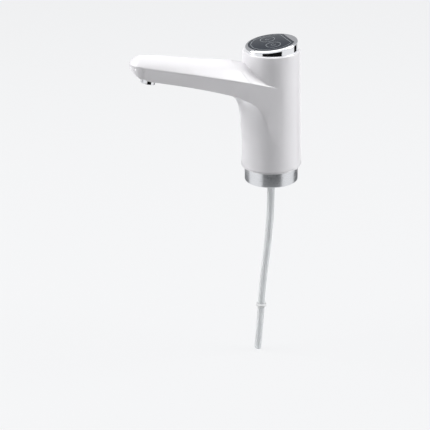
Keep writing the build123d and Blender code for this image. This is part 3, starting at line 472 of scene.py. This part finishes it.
def polished_metal(name, colour, rough=0.06, lines=0.0, along=(1, 1, 40)):
    """Polished metal with faint marks, and with turning lines if asked."""
    finish = Finish(name, Metallic=1.0)
    cloud = finish.noise(60, 5)
    finish.colour(finish.blend(finish.between(cloud, 0, 1), shade(colour, 0.95), colour))
    marks = finish.noise(240, 6, stretch=along, rough=0.65)
    finish.roughness(finish.between(marks, rough * 0.7, rough * 1.5))
    if lines:
        finish.bump(finish.noise(300, 4, stretch=along, rough=0.7), lines * MM, 0.6)
    return finish.material


def soft_rubber(name, colour, rough=0.6):
    """Matte rubber with a fine bloom."""
    finish = Finish(name, Specular_IOR_Level=0.35, Sheen_Weight=0.15, Sheen_Roughness=0.5)
    finish.colour(finish.blend(finish.between(finish.noise(90, 5), 0, 1), shade(colour, 0.9), colour))
    finish.roughness(finish.between(finish.noise(500, 4), rough * 0.9, rough * 1.1))
    finish.bump(finish.noise(2200, 3), 0.02 * MM, 0.5)
    return finish.material


def clear_silicone(name, colour):
    """Milky clear silicone tube."""
    finish = Finish(name, Transmission_Weight=0.35, IOR=1.41, Specular_IOR_Level=0.5)
    cloud = finish.noise(120, 2, stretch=(1, 1, 0.2))
    finish.colour(finish.blend(finish.between(cloud, 0, 1), shade(colour, 0.97), colour))
    finish.roughness(finish.between(finish.noise(90, 2), 0.16, 0.24))
    finish.bump(finish.noise(160, 2, stretch=(1, 1, 0.1)), 0.02 * MM, 0.5)
    return finish.material


def touch_glass(name, colour):
    """Satin dark panel with a trace of dust."""
    finish = Finish(name, Specular_IOR_Level=0.3)
    cloud = finish.between(finish.noise(46, 3), 0, 1)
    finish.colour(finish.blend(cloud, shade(colour, 0.92), shade(colour, 1.08)))
    finish.roughness(finish.between(finish.noise(420, 7, rough=0.7), 0.10, 0.20))
    return finish.material


def printed_ink(name, colour):
    """Screen-printed ink on the panel."""
    finish = Finish(name, Specular_IOR_Level=0.4)
    finish.colour(finish.blend(finish.between(finish.noise(800, 3), 0, 1), shade(colour, 0.9), colour))
    finish.roughness(finish.between(finish.noise(900, 3), 0.3, 0.45))
    return finish.material


def circuit_board(name):
    """Solder mask over copper tracks and pads."""
    finish = Finish(name, Specular_IOR_Level=0.5)
    tracks = finish.node("ShaderNodeTexBrick", Scale=160.0, offset=0.5)
    for socket, value in (("Mortar Size", 0.012), ("Brick Width", 0.9), ("Row Height", 0.3)):
        tracks.inputs[socket].default_value = value
    finish.link(finish.mapping((1, 1, 1)), tracks, "Vector")
    pads = finish.node("ShaderNodeTexVoronoi", Scale=420.0, feature="F1")
    finish.link(finish.place, pads, "Vector")
    dots = finish.between(pads.outputs["Distance"], 1, 0, 0.14, 0.17)
    green = finish.blend(tracks.outputs["Fac"], (0.012, 0.14, 0.07), (0.03, 0.24, 0.12))
    finish.colour(finish.blend(dots, green, (0.75, 0.70, 0.58)))
    finish.roughness(finish.between(dots, 0.35, 0.22, 0, 1))
    finish.bump(tracks.outputs["Fac"], 0.03 * MM, 0.6)
    return finish.material


def wound_wire(name, colour):
    """Turns of enamelled wire, with painted shade in the grooves between the turns."""
    finish = Finish(name, Metallic=0.85, Coat_Weight=0.5, Coat_Roughness=0.15)
    turns = finish.node("ShaderNodeTexWave", Scale=75.0, bands_direction="Z")
    finish.link(finish.place, turns, "Vector")
    # painted shade: the copper darkens to about a third of its colour in the grooves between the turns,
    # where the bump is lowest
    finish.colour(finish.blend(turns.outputs["Fac"], shade(colour, 0.35), colour))
    finish.roughness(finish.between(finish.noise(400, 3), 0.2, 0.35))
    finish.bump(turns.outputs["Fac"], 0.15 * MM, 0.8)
    return finish.material


def laminated_steel(name):
    """A stack of thin punched sheets."""
    finish = Finish(name, Metallic=0.9)
    sheets = finish.node("ShaderNodeTexWave", Scale=100.0, bands_direction="Z")
    finish.link(finish.place, sheets, "Vector")
    finish.colour(finish.blend(sheets.outputs["Fac"], (0.10, 0.10, 0.10), (0.34, 0.34, 0.35)))
    finish.roughness(finish.between(finish.noise(300, 4), 0.38, 0.55))
    finish.bump(sheets.outputs["Fac"], 0.06 * MM, 0.6)
    return finish.material


def shrink_wrap(name, colour):
    """Printed shrink film on the cell, with a pale band."""
    finish = Finish(name, Coat_Weight=0.6, Coat_Roughness=0.1)
    split = finish.node("ShaderNodeSeparateXYZ")
    finish.link(finish.place, split, "Vector")
    band = finish.between(split.outputs["Z"], 0, 1, 92.0 * MM, 92.3 * MM)
    finish.colour(finish.blend(band, colour, (0.78, 0.78, 0.76)))
    finish.roughness(finish.between(finish.noise(200, 4), 0.22, 0.34))
    finish.bump(finish.noise(500, 3, stretch=(1, 1, 0.2)), 0.03 * MM, 0.4)
    return finish.material


def foam_pad(name, colour):
    """Open foam."""
    finish = Finish(name, Specular_IOR_Level=0.2)
    cells = finish.node("ShaderNodeTexVoronoi", Scale=2200.0)
    finish.link(finish.place, cells, "Vector")
    finish.colour(finish.blend(cells.outputs["Distance"], shade(colour, 1.6), shade(colour, 0.4)))
    finish.roughness(finish.between(finish.noise(700, 2), 0.85, 0.95))
    finish.bump(cells.outputs["Distance"], 0.12 * MM, 0.8)
    return finish.material


finishes = {}


class DISPENSER_OT_finishes(bpy.types.Operator):
    """Make the finishes of all pieces"""

    bl_idname = "dispenser.finishes"
    bl_label = "Finishes"

    def execute(self, context):
        tint = context.scene.dispenser_colours
        finishes.update(
            body_white=moulded_plastic(
                "body_white", tint.body[:], rough=0.30, grain=0, vary=0.02, coat=0.2
            ),
            chrome=polished_metal("chrome", tint.chrome[:], rough=0.07),
            sleeve_steel=polished_metal("sleeve_steel", tint.steel[:], rough=0.26, lines=0.003),
            panel_slate=touch_glass("panel_slate", tint.panel[:]),
            panel_print=printed_ink("panel_print", tint.print_ink[:]),
            hose_silicone=clear_silicone("hose_silicone", tint.silicone[:]),
            flap_rubber=soft_rubber("flap_rubber", tint.flap[:], rough=0.5),
            fitting_white=moulded_plastic("fitting_white", (0.74, 0.745, 0.75), rough=0.42, grain=0.01),
            pump_black=moulded_plastic("pump_black", (0.03, 0.03, 0.033), rough=0.45, grain=0.02),
            impeller_white=moulded_plastic("impeller_white", (0.78, 0.78, 0.76), rough=0.4),
            seal_rubber=soft_rubber("seal_rubber", (0.018, 0.018, 0.018)),
            motor_plastic=moulded_plastic("motor_plastic", (0.05, 0.05, 0.055), rough=0.4, grain=0.01),
            holder_grey=moulded_plastic("holder_grey", (0.36, 0.37, 0.39), rough=0.45, grain=0.01),
            part_black=moulded_plastic("part_black", (0.02, 0.02, 0.022), rough=0.35),
            brush_carbon=moulded_plastic("brush_carbon", (0.03, 0.03, 0.03), rough=0.7, grain=0.03),
            screw_steel=polished_metal("screw_steel", (0.55, 0.56, 0.58), rough=0.24, lines=0.004),
            motor_steel=polished_metal("motor_steel", (0.60, 0.61, 0.63), rough=0.22, lines=0.004),
            shaft_steel=polished_metal("shaft_steel", (0.70, 0.71, 0.72), rough=0.10, lines=0.002),
            contact_nickel=polished_metal("contact_nickel", (0.68, 0.66, 0.62), rough=0.16),
            bushing_bronze=polished_metal("bushing_bronze", (0.52, 0.34, 0.16), rough=0.32),
            terminal_brass=polished_metal("terminal_brass", (0.72, 0.56, 0.26), rough=0.2),
            magnet_ferrite=moulded_plastic("magnet_ferrite", (0.045, 0.045, 0.05), rough=0.6, grain=0.03),
            core_steel=laminated_steel("core_steel"),
            winding_copper=wound_wire("winding_copper", (0.70, 0.28, 0.11)),
            cell_wrap=shrink_wrap("cell_wrap", (0.02, 0.20, 0.32)),
            board_green=circuit_board("board_green"),
            pad_foam=foam_pad("pad_foam", (0.05, 0.05, 0.05)),
        )
        # every solid of the frame gets the finish of its slot
        for part in frame["record"]["subparts"]:
            slots = nodes[part["node"]].data.materials
            slots.clear()
            slots.append(finishes[part["material_slot"]])
        return {"FINISHED"}


# ---------------------------------------------------------------- pieces


def cap_frame(depth=0.0):
    """The plane of the cap's top, lowered by depth: its point on the axis, its normal and its x axis."""
    size = bpy.context.scene.dispenser_sizes
    tilt = size.cap_tilt
    normal = Vector((-math.sin(tilt), 0, math.cos(tilt)))
    along = Vector((math.cos(tilt), 0, math.sin(tilt)))
    return Vector((0, 0, size.bezel_top)) - normal * depth, normal, along


def panel_plate(name, margin, thickness, steps=128):
    """A round plate with one side cut off straight, standing on z = 0."""
    size = bpy.context.scene.dispenser_sizes
    rest()
    bpy.ops.mesh.primitive_cylinder_add(
        vertices=steps, radius=size.panel_radius + margin, depth=thickness, location=(0, 0, thickness / 2)
    )
    plate = bpy.context.object
    plate.name = plate.data.name = name
    bpy.ops.object.transform_apply(location=True, rotation=True, scale=True)
    bpy.ops.object.mode_set(mode="EDIT")
    bpy.ops.mesh.select_all(action="SELECT")
    bpy.ops.mesh.bisect(
        plane_co=(size.panel_chord + margin, 0, 0), plane_no=(1, 0, 0), use_fill=True, clear_outer=True
    )
    close_mesh()
    return plate


class DISPENSER_OT_body(bpy.types.Operator):
    """Column with the lower half of the spout arm, and the cover of the arm"""

    bl_idname = "dispenser.body"
    bl_label = "Body and Arm"

    crown_start = 10 * MM  # distance from the axis at which the crown may start
    rim_wall = 1 * MM  # how far outside the column's radius the rim keeps its shape
    ridge_power, flank_power = 1.9, 3  # how flat the ridge and how steep the flanks are across the arm

    # each pair is where a swell starts and where it is whole
    near_rise = (-76 * MM, -27 * MM)  # x of the ridge's rise towards the column
    far_rise = (-90 * MM, -122 * MM)  # x of its rise towards the round end
    far_share = 0.19  # height of the far rise, as a share of the near one
    chin_back = (-123.6 * MM, -129.5 * MM)  # x of the chin, from the nozzle's side
    chin_front = (-134.2 * MM, -131 * MM)  # x of the chin, from the tip of the round end
    chin_under = (112 * MM, 110.5 * MM)  # z of the chin

    # the flanks fall most in the arm's middle, and less by a share at half its length from there
    arm_middle, arm_half, flank_fade = -75 * MM, 47 * MM, 0.25

    def crown(self, place):
        """How far a point lies from the crown's ridge: 0 on the ridge, 1 at its edges and off the crown."""
        size = bpy.context.scene.dispenser_sizes
        reach, radius = min(-place.x, size.crown_reach), place.xy.length
        inside = reach < self.crown_start or radius < size.column_radius
        rim = radius < size.column_radius + self.rim_wall and place.z > size.column_rim
        if inside or rim or place.z < size.crown_foot + size.crown_slope * reach:
            return 1
        width = size.crown_width - size.crown_taper * reach
        return min(1, math.hypot(place.x + reach, place.y) / width)

    def ridge(self, place):
        """The crown's share that rises: all of it towards the column, and a little at the round end."""
        rise = ease(place.x, *self.near_rise) + self.far_share * ease(place.x, *self.far_rise)
        return (1 - self.crown(place) ** self.ridge_power) * rise

    def flank(self, place):
        """The share by which the crown's flanks fall away sooner, most in the middle of the arm."""
        edge = self.crown(place)
        away = (place.x - self.arm_middle) / self.arm_half
        return (edge ** self.ridge_power - edge ** self.flank_power) * (1 - self.flank_fade * away ** 2)

    def chin(self, place):
        """The share of the round end's underside, in front of the nozzle."""
        along = ease(place.x, *self.chin_back) * ease(place.x, *self.chin_front)
        return along * ease(place.z, *self.chin_under)

    def execute(self, context):
        size = context.scene.dispenser_sizes
        copies = (("housing", "body_shell"), ("spout_cover", "arm_cover"), ("base_plate", "foot_plate"))
        for node, name in copies:
            piece = copy_of(node, name)
            if name != "foot_plate":
                swell(piece, "ridge", size.shoulder_rise, self.ridge)
                swell(piece, "flank", -size.crown_rise, self.flank)
                swell(piece, "chin", -size.chin_drop, self.chin)
            polish(piece)
            dress(piece, finishes["body_white"], stands_for=[node])
        return {"FINISHED"}


class DISPENSER_OT_bezel(bpy.types.Operator):
    """Chrome bezel with a rounded, tilted top"""

    bl_idname = "dispenser.bezel"
    bl_label = "Chrome Bezel"

    def sloped(self, name, radius, bottom, top, normal, steps):
        """A cylinder whose top is cut off by a plane. It is left open for editing."""
        tall = 30 * MM  # more than the plane leaves of it
        rest()
        bpy.ops.mesh.primitive_cylinder_add(
            vertices=steps, radius=radius, depth=tall, location=(0, 0, bottom + tall / 2)
        )
        piece = bpy.context.object
        piece.name = piece.data.name = name
        bpy.ops.object.transform_apply(location=True, rotation=True, scale=True)
        bpy.ops.object.mode_set(mode="EDIT")
        bpy.ops.mesh.select_all(action="SELECT")
        bpy.ops.mesh.bisect(plane_co=top, plane_no=normal, use_fill=True, clear_outer=True)
        return piece

    def execute(self, context):
        size = context.scene.dispenser_sizes
        origin, normal, along = cap_frame()
        bottom, near = size.bezel_bottom, 0.01 * MM
        bezel = self.sloped("bezel_ring", size.bezel_radius, bottom, origin, normal, 160)
        pick(bezel, "edges", lambda e: all(abs((v.co - origin).dot(normal)) < near for v in e.verts))
        bpy.ops.mesh.bevel(offset=size.bezel_round, segments=9, profile=0.55, affect="EDGES")
        close_mesh()
        # pocket for the panel, the ledge under it, and the room inside
        ledge, fit, ledge_width = size.panel_thickness, 0.08 * MM, 2.7 * MM
        pocket = panel_plate("pocket", fit, 10 * MM)
        place(pocket, origin - normal * ledge, normal, along)
        cut_away(bezel, pocket)
        window = panel_plate("window", -ledge_width, 20 * MM)
        place(window, origin - normal * 10 * MM, normal, along)
        cut_away(bezel, window)
        ceiling = origin - normal * 2 * ledge
        room = self.sloped("room", size.bezel_bore, bottom - 1 * MM, ceiling, normal, 96)
        close_mesh()
        cut_away(bezel, room)
        mend(bezel)
        smooth(bezel, 28)
        dress(bezel, finishes["chrome"], stands_for=["chrome_bezel"])
        return {"FINISHED"}


class DISPENSER_OT_panel(bpy.types.Operator):
    """Touch panel with its printed line, two rings and two plain symbols"""

    bl_idname = "dispenser.panel"
    bl_label = "Touch Panel"

    def ring(self, name, radius, width):
        """A thin printed ring, standing on z = 0."""
        inside, outside = radius - width / 2, radius + width / 2
        section = [(inside, 0), (outside, 0), (outside, PRINT), (inside, PRINT)]
        return turn(name, closed(section), steps=72)

    def outline(self, inset, width):
        """A printed line that follows the panel's outline."""
        line = panel_plate("print_line", -inset, PRINT)
        inner = panel_plate("print_line_inside", -inset - width, 1 * MM)
        place(inner, (0, 0, -0.5 * MM))
        cut_away(line, inner)
        return line

    def drop(self, width):
        """A drop: a ring with one side drawn out to a point."""
        radius, stretch, squeeze = 1.7 * MM, 1.28, 0.62
        drop = self.ring("print_drop", radius, width)
        open_mesh(drop)
        for start in (0.2, 0.55, 0.8):
            pick(drop, "verts", lambda v: v.co.x > start * radius)
            bpy.ops.transform.resize(
                value=(stretch, squeeze, 1), center_override=(start * radius, 0, 0)
            )
        close_mesh()
        return drop

    def power(self, width):
        """An open ring."""
        radius, opening = 2.1 * MM, 0.72
        power = self.ring("print_power", radius, width)
        open_mesh(power)
        bpy.ops.mesh.select_all(action="SELECT")
        bpy.ops.mesh.bisect(
            plane_co=(opening * radius, 0, 0), plane_no=(1, 0, 0), use_fill=True, clear_outer=True
        )
        close_mesh()
        return power

    def bar(self, width):
        """The short bar in the gap of the open ring."""
        middle, tall = 1.5 * MM, 2.2 * MM
        rest()
        bpy.ops.mesh.primitive_plane_add(size=1, location=(middle, 0, 0))
        bar = bpy.context.object
        bar.name = bar.data.name = "print_bar"
        bar.scale = (tall, width, 1)
        bpy.ops.object.transform_apply(location=True, rotation=True, scale=True)
        bpy.ops.object.mode_set(mode="EDIT")
        bpy.ops.mesh.select_all(action="SELECT")
        bpy.ops.mesh.extrude_region_move(TRANSFORM_OT_translate={"value": (0, 0, PRINT)})
        close_mesh()
        mend(bar, 0.001 * MM)
        return bar

    def execute(self, context):
        size = context.scene.dispenser_sizes
        thick, sunk, rounding = size.panel_thickness, 0.05 * MM, 0.35 * MM
        plate = panel_plate("touch_plate", 0, thick - sunk)
        soften(plate, rounding, 3)
        origin, normal, along = cap_frame(thick)
        place(plate, origin, normal, along)
        dress(plate, finishes["panel_slate"], stands_for=["touch_panel"])
        # the prints lie on the plate: the line about the axis, the others about their keys
        width = size.line_width
        thin = 0.8 * width
        far, near = (0.0, size.far_key), (-1.0 * MM, -size.near_key)
        prints = (
            (self.outline(size.line_inset, width), (0.0, 0.0)),
            (self.ring("print_ring_far", size.key_radius, width), far),
            (self.ring("print_ring_near", size.key_radius, width), near),
            (self.drop(thin), far),
            (self.power(thin), near),
            (self.bar(thin), near),
        )
        top, normal, along = cap_frame(sunk)
        across = normal.cross(along)
        for mark, (x, y) in prints:
            place(mark, top + along * x + across * y, normal, along)
            dress(mark, finishes["panel_print"])
        return {"FINISHED"}


class DISPENSER_OT_sleeve(bpy.types.Operator):
    """Steel sleeve for the bottle's neck, with its lower edge rolled in"""

    bl_idname = "dispenser.sleeve"
    bl_label = "Neck Sleeve"

    def execute(self, context):
        size = context.scene.dispenser_sizes
        r, low, wall, top = size.sleeve_radius, -size.sleeve_depth, 0.9 * MM, 0.4 * MM
        lip, flat = r - 2.9 * MM, r - 2.65 * MM  # inner edge of the rolled lip, and of its underside
        roll, middle = 0.6 * MM, r - 0.62 * MM  # radius of the roll, and its middle
        outline = [(lip, low + wall), (lip, low + 0.25 * MM), (flat, low)]
        outline += [(middle + roll * math.sin(a), low + roll - roll * math.cos(a)) for a in QUARTER]
        outline += [(r, low + 0.8 * MM), (r, -1.0 * MM), (r, -0.2 * MM), (r, 0.0)]
        outline += [(r - top, top), (r - wall, top), (r - wall, low + wall)]
        sleeve = turn("sleeve_tube", closed(outline), steps=144)
        smooth(sleeve, 35)
        dress(sleeve, finishes["sleeve_steel"], stands_for=["neck_sleeve"])
        return {"FINISHED"}


# where the nozzle's ring stands under the arm, in metres, and which way its mouth looks
NOZZLE_FOOT = (-0.1175, 0.0, 0.0994845)
NOZZLE_DOWN = (-0.24239, 0.0, -0.970179)


class DISPENSER_OT_nozzle(bpy.types.Operator):
    """Chrome ring of the nozzle"""

    bl_idname = "dispenser.nozzle"
    bl_label = "Nozzle"

    def execute(self, context):
        size = context.scene.dispenser_sizes
        r, bore, deep = size.nozzle_radius, size.nozzle_bore, size.nozzle_length
        lip, neck, chamfer = 0.6 * MM, r - 0.5 * MM, 0.25 * MM
        foot, step = -0.85 * MM, 0.15 * MM  # heights of the part that sits in the arm
        outline = [(bore, foot), (neck, foot), (neck, step), (r, step)]
        outline += [(r, lip), (r, deep - lip - 0.2 * MM)]
        outline += [(r - lip + lip * math.cos(a), deep - lip + lip * math.sin(a)) for a in QUARTER]
        outline += [(bore + chamfer, deep), (bore, deep - chamfer)]
        ring = turn("nozzle_rim", closed(outline), steps=96)
        smooth(ring, 35)
        down = Vector(NOZZLE_DOWN)
        place(ring, NOZZLE_FOOT, down, (down.z, 0, -down.x))
        dress(ring, finishes["chrome"], stands_for=["nozzle_ring"])
        return {"FINISHED"}


# route of the suction hose: the same points as the solids, in metres
UPPER_ROUTE = [
    (0.0, 0.0, -0.0063),
    (0.0, 0.0, -0.036),
    (-0.0012, 0.0009, -0.068),
    (-0.0050, 0.0004, -0.100),
    (-0.0094, -0.0004, -0.131),
    (-0.0105, -0.0006, -0.1485),
]
LOWER_ROUTE = [
    (-0.0107, -0.0006, -0.1515),
    (-0.0118, -0.0008, -0.168),
    (-0.0129, 0.0002, -0.186),
    (-0.0136, 0.0012, -0.200),
]


def smooth_line(name, points):
    """A curve object with one smooth spline along a route, and no thickness."""
    curve = bpy.data.curves.new(name, "CURVE")
    curve.dimensions = "3D"
    curve.resolution_u = 24
    spline = curve.splines.new("NURBS")
    spline.points.add(len(points) - 1)
    for point, place in zip(spline.points, points):
        point.co = (*place, 1)
    spline.order_u = 3
    spline.use_endpoint_u = True
    line = bpy.data.objects.new(name, curve)
    bpy.context.scene.collection.objects.link(line)
    return line


class DISPENSER_OT_hoses(bpy.types.Operator):
    """The two lengths of suction hose that hang in the bottle"""

    bl_idname = "dispenser.hoses"
    bl_label = "Suction Hose"

    def hose(self, name, route, node):
        """A length of hose along a route: the tube, the points of its middle line and its length."""
        size = bpy.context.scene.dispenser_sizes
        line = smooth_line(name + "_line", route)
        bpy.context.view_layer.update()
        graph = bpy.context.evaluated_depsgraph_get()
        read = bpy.data.meshes.new_from_object(line.evaluated_get(graph))
        path = [tuple(v.co) for v in read.vertices]
        bpy.data.meshes.remove(read)
        measured = sum((Vector(b) - Vector(a)).length for a, b in zip(path, path[1:]))
        line.data.bevel_depth = size.hose_radius
        line.data.bevel_resolution = 10
        only(line)
        bpy.ops.object.convert(target="MESH")
        tube = bpy.context.object
        tube.name = tube.data.name = name
        modify(tube, "SOLIDIFY", thickness=size.hose_wall, offset=-1, use_rim=True)
        mend(tube)
        soften(tube, 0.15 * MM, 2, 60)
        dress(tube, finishes["hose_silicone"], stands_for=[node])
        return tube, path, measured

    def execute(self, context):
        upper, path, measured = self.hose("hose_upper", UPPER_ROUTE, "suction_hose_upper")
        lower, path, measured = self.hose("hose_lower", LOWER_ROUTE, "suction_hose_lower")
        return {"FINISHED"}


class DISPENSER_OT_stage(bpy.types.Operator):
    """Pale floor, dark cards, softboxes, even fill and the camera"""

    bl_idname = "dispenser.stage"
    bl_label = "Stage"

    # the camera's place in metres, how it is turned, and its lens
    stand = (-0.4112, -1.0358, 0.4577)
    azimuth = math.radians(18.862)
    pitch = math.radians(24.651)
    roll = math.radians(-1.067)
    focal, picture = 1265.8, 430  # focal length and width of the picture, both in pixels
    sensor = 36.0

    aim = (-0.03, 0, 0.07)  # the point in metres that the lamps are turned to

    # each softbox: bearing and height in degrees, then distance, width and length in metres
    softboxes = (
        ("top", 180, 75, 1.5, 1.3, 1.3),
        ("high", 0, 75, 1.5, 1.3, 1.3),
        ("right", 88, 34, 1.6, 0.7, 1.5),
        ("left", -92, 40, 1.4, 0.7, 1.4),
    )
    # each dark card: bearings of its ends in degrees, then its near and far edge in metres
    dark_cards = (
        ("front", -41, 43, 0.28, 2.2),
        ("right", 112, 136, 0.52, 2.2),
        ("far_right", 112, 176, 0.28, 0.5),
        ("far_left", -176, -112, 0.28, 0.5),
    )

    def camera(self):
        """The camera, looking down at the dispenser from the front left."""
        rest()
        bpy.ops.object.camera_add(location=self.stand)
        camera = bpy.context.object
        camera.name = "camera"
        azimuth, pitch, roll = self.azimuth, self.pitch, self.roll
        forward = Vector(
            (math.sin(azimuth) * math.cos(pitch), math.cos(azimuth) * math.cos(pitch), -math.sin(pitch))
        )
        level = Vector((math.cos(azimuth), -math.sin(azimuth), 0))
        right = level * math.cos(roll) + level.cross(forward) * math.sin(roll)
        camera.rotation_euler = Matrix((right, right.cross(forward), -forward)).transposed().to_euler()
        camera.data.sensor_width = self.sensor
        camera.data.lens = self.focal / self.picture * self.sensor
        camera.data.clip_start = 0.01
        bpy.context.scene.camera = camera

    def around(self, bearing):
        """A level direction, by its angle from the camera's side: to the right of it above zero."""
        angle = bearing - self.azimuth - math.pi / 2
        return Vector((math.cos(angle), math.sin(angle), 0))

    def softbox(self, name, power, bearing, height, distance, width, tall):
        """A soft lamp at a bearing and a height in degrees, turned to the dispenser."""
        middle = Vector(self.aim)
        level = self.around(math.radians(bearing)) * math.cos(math.radians(height))
        location = middle + (level + Vector((0, 0, math.sin(math.radians(height))))) * distance
        rest()
        bpy.ops.object.light_add(type="AREA", location=location)
        lamp = bpy.context.object
        lamp.name = name
        lamp.data.shape = "RECTANGLE"
        lamp.data.size, lamp.data.size_y = width, tall
        lamp.data.energy = power
        lamp.rotation_euler = (middle - location).to_track_quat("-Z", "Y").to_euler()
        lamp.visible_camera = False

    def dark_card(self, name, level, felt, start, end, near, far):
        """A dark card that lies just above the floor between two bearings, seen only in reflections."""
        card = turn(name, [(near, 0), (far, 0)], steps=12, angle=math.radians(end - start))
        place(card, (0, 0, level), (0, 0, 1), self.around(math.radians(end)))
        card.data.materials.append(felt)
        for ray in ("camera", "diffuse", "shadow", "transmission"):
            setattr(card, "visible_" + ray, False)

    def paper(self, pale):
        """Matte paper that is about as bright as its colour to the camera and in reflections."""
        glowing = 0.93  # share of its look there that doesn't depend on the lamps
        paper = Finish("backdrop_paper", Roughness=0.9, Specular_IOR_Level=0.1)
        paper.colour(paper.blend(paper.noise(6, 3), shade(pale, 0.995), pale))
        glow = paper.node("ShaderNodeEmission", Color=(*pale, 1))
        rays = paper.node("ShaderNodeLightPath").outputs
        seen = paper.most(rays["Is Camera Ray"], rays["Is Transmission Ray"], rays["Is Glossy Ray"])
        mixed = paper.node("ShaderNodeMixShader")
        paper.link(paper.between(seen, 0, glowing, 0, 1), mixed, 0)
        paper.link(paper.shader.outputs[0], mixed, 1)
        paper.link(glow.outputs[0], mixed, 2)
        paper.link(mixed.outputs[0], paper.output, "Surface")
        return paper.material

    def felt(self):
        """Black felt, greyer towards the dispenser."""
        grey, black = (0.12, 0.125, 0.13), (0.010, 0.010, 0.011)
        near, far = 0.44, 0.62  # where the grey ends and the black begins, in metres
        felt = Finish("card_felt", Roughness=1.0, Specular_IOR_Level=0.0)
        reach = felt.node("ShaderNodeVectorMath", operation="LENGTH")
        felt.link(felt.place, reach, 0)
        away = felt.between(reach.outputs["Value"], 0, 1, near, far)
        felt.colour(felt.blend(away, grey, black))
        return felt.material

    def studio(self, fill):
        """The room: even fill, plain pale walls, and reflections of walls that are brightest in front."""
        world = bpy.data.worlds.new("studio")
        bpy.context.scene.world = world
        room = NodeTree(world)
        tint = (0.95, 0.965, 1.0, 1)
        front, back, plain = 0.95, 0.45, 0.9  # strengths of the walls in reflections, and as seen
        ahead, behind = -0.3, 0.45  # the walls darken between these, along the Y axis
        rays = room.node("ShaderNodeLightPath").outputs
        split = room.node("ShaderNodeSeparateXYZ")
        room.link(room.node("ShaderNodeTexCoord").outputs["Generated"], split, 0)
        walls = room.node("ShaderNodeBackground", Color=tint)
        room.link(room.between(split.outputs["Y"], front, back, ahead, behind), walls, "Strength")
        shown = room.node("ShaderNodeBackground", Color=tint, Strength=plain).outputs[0]
        seen = room.most(rays["Is Camera Ray"], rays["Is Transmission Ray"])
        light = room.node("ShaderNodeBackground", Color=tint, Strength=fill).outputs[0]
        for factor, other in ((rays["Is Glossy Ray"], walls.outputs[0]), (seen, shown)):
            mixed = room.node("ShaderNodeMixShader")
            room.link(factor, mixed, 0)
            room.link(light, mixed, 1)
            room.link(other, mixed, 2)
            light = mixed.outputs[0]
        room.link(light, room.node("ShaderNodeOutputWorld"), "Surface")

    def execute(self, context):
        scene = context.scene
        light = scene.dispenser_lights
        scene.view_settings.view_transform = "Standard"
        self.camera()
        floor_gap, card_gap = 1.5 * MM, 2 * MM
        low = cad_box[0][2] - floor_gap
        rest()
        bpy.ops.mesh.primitive_plane_add(size=14, location=(0, 0, low))
        floor = context.object
        floor.name = floor.data.name = "floor"
        floor.data.materials.append(self.paper(scene.dispenser_colours.backdrop[:]))
        felt = self.felt()
        for name, *reach in self.dark_cards:
            self.dark_card("dark_card_" + name, low + card_gap, felt, *reach)
        for name, *measures in self.softboxes:
            self.softbox("softbox_" + name, getattr(light, name), *measures)
        self.studio(light.fill)
        return {"FINISHED"}


# ---------------------------------------------------------------- sidebar and registration

steps = (
    DISPENSER_OT_finishes,
    DISPENSER_OT_stage,
    DISPENSER_OT_hoses,
    DISPENSER_OT_body,
    DISPENSER_OT_bezel,
    DISPENSER_OT_panel,
    DISPENSER_OT_sleeve,
    DISPENSER_OT_nozzle,
)


class DISPENSER_PT_sidebar(bpy.types.Panel):
    """Sizes, colours and steps of the dispenser pump"""

    bl_idname = "DISPENSER_PT_sidebar"
    bl_label = "Dispenser Pump"
    bl_space_type = "VIEW_3D"
    bl_region_type = "UI"
    bl_category = "Dispenser"

    def draw(self, context):
        layout = self.layout
        for step in steps:
            layout.operator(step.bl_idname)
        for group in ("dispenser_sizes", "dispenser_colours", "dispenser_lights"):
            box = layout.box()
            values = getattr(context.scene, group)
            for name in values.__annotations__:
                box.prop(values, name)


groups = (DispenserSizes, DispenserColours, DispenserLights)
classes = groups + steps + (DISPENSER_PT_sidebar,)


def register():
    for made in classes:
        bpy.utils.register_class(made)
    bpy.types.Scene.dispenser_sizes = bpy.props.PointerProperty(type=DispenserSizes)
    bpy.types.Scene.dispenser_colours = bpy.props.PointerProperty(type=DispenserColours)
    bpy.types.Scene.dispenser_lights = bpy.props.PointerProperty(type=DispenserLights)


def unregister():
    del bpy.types.Scene.dispenser_lights
    del bpy.types.Scene.dispenser_colours
    del bpy.types.Scene.dispenser_sizes
    for made in reversed(classes):
        bpy.utils.unregister_class(made)


def main():
    register()
    for step in steps:
        group, name = step.bl_idname.split(".")
        getattr(getattr(bpy.ops, group), name)()
    rest()


if __name__ == "__main__":
    main()
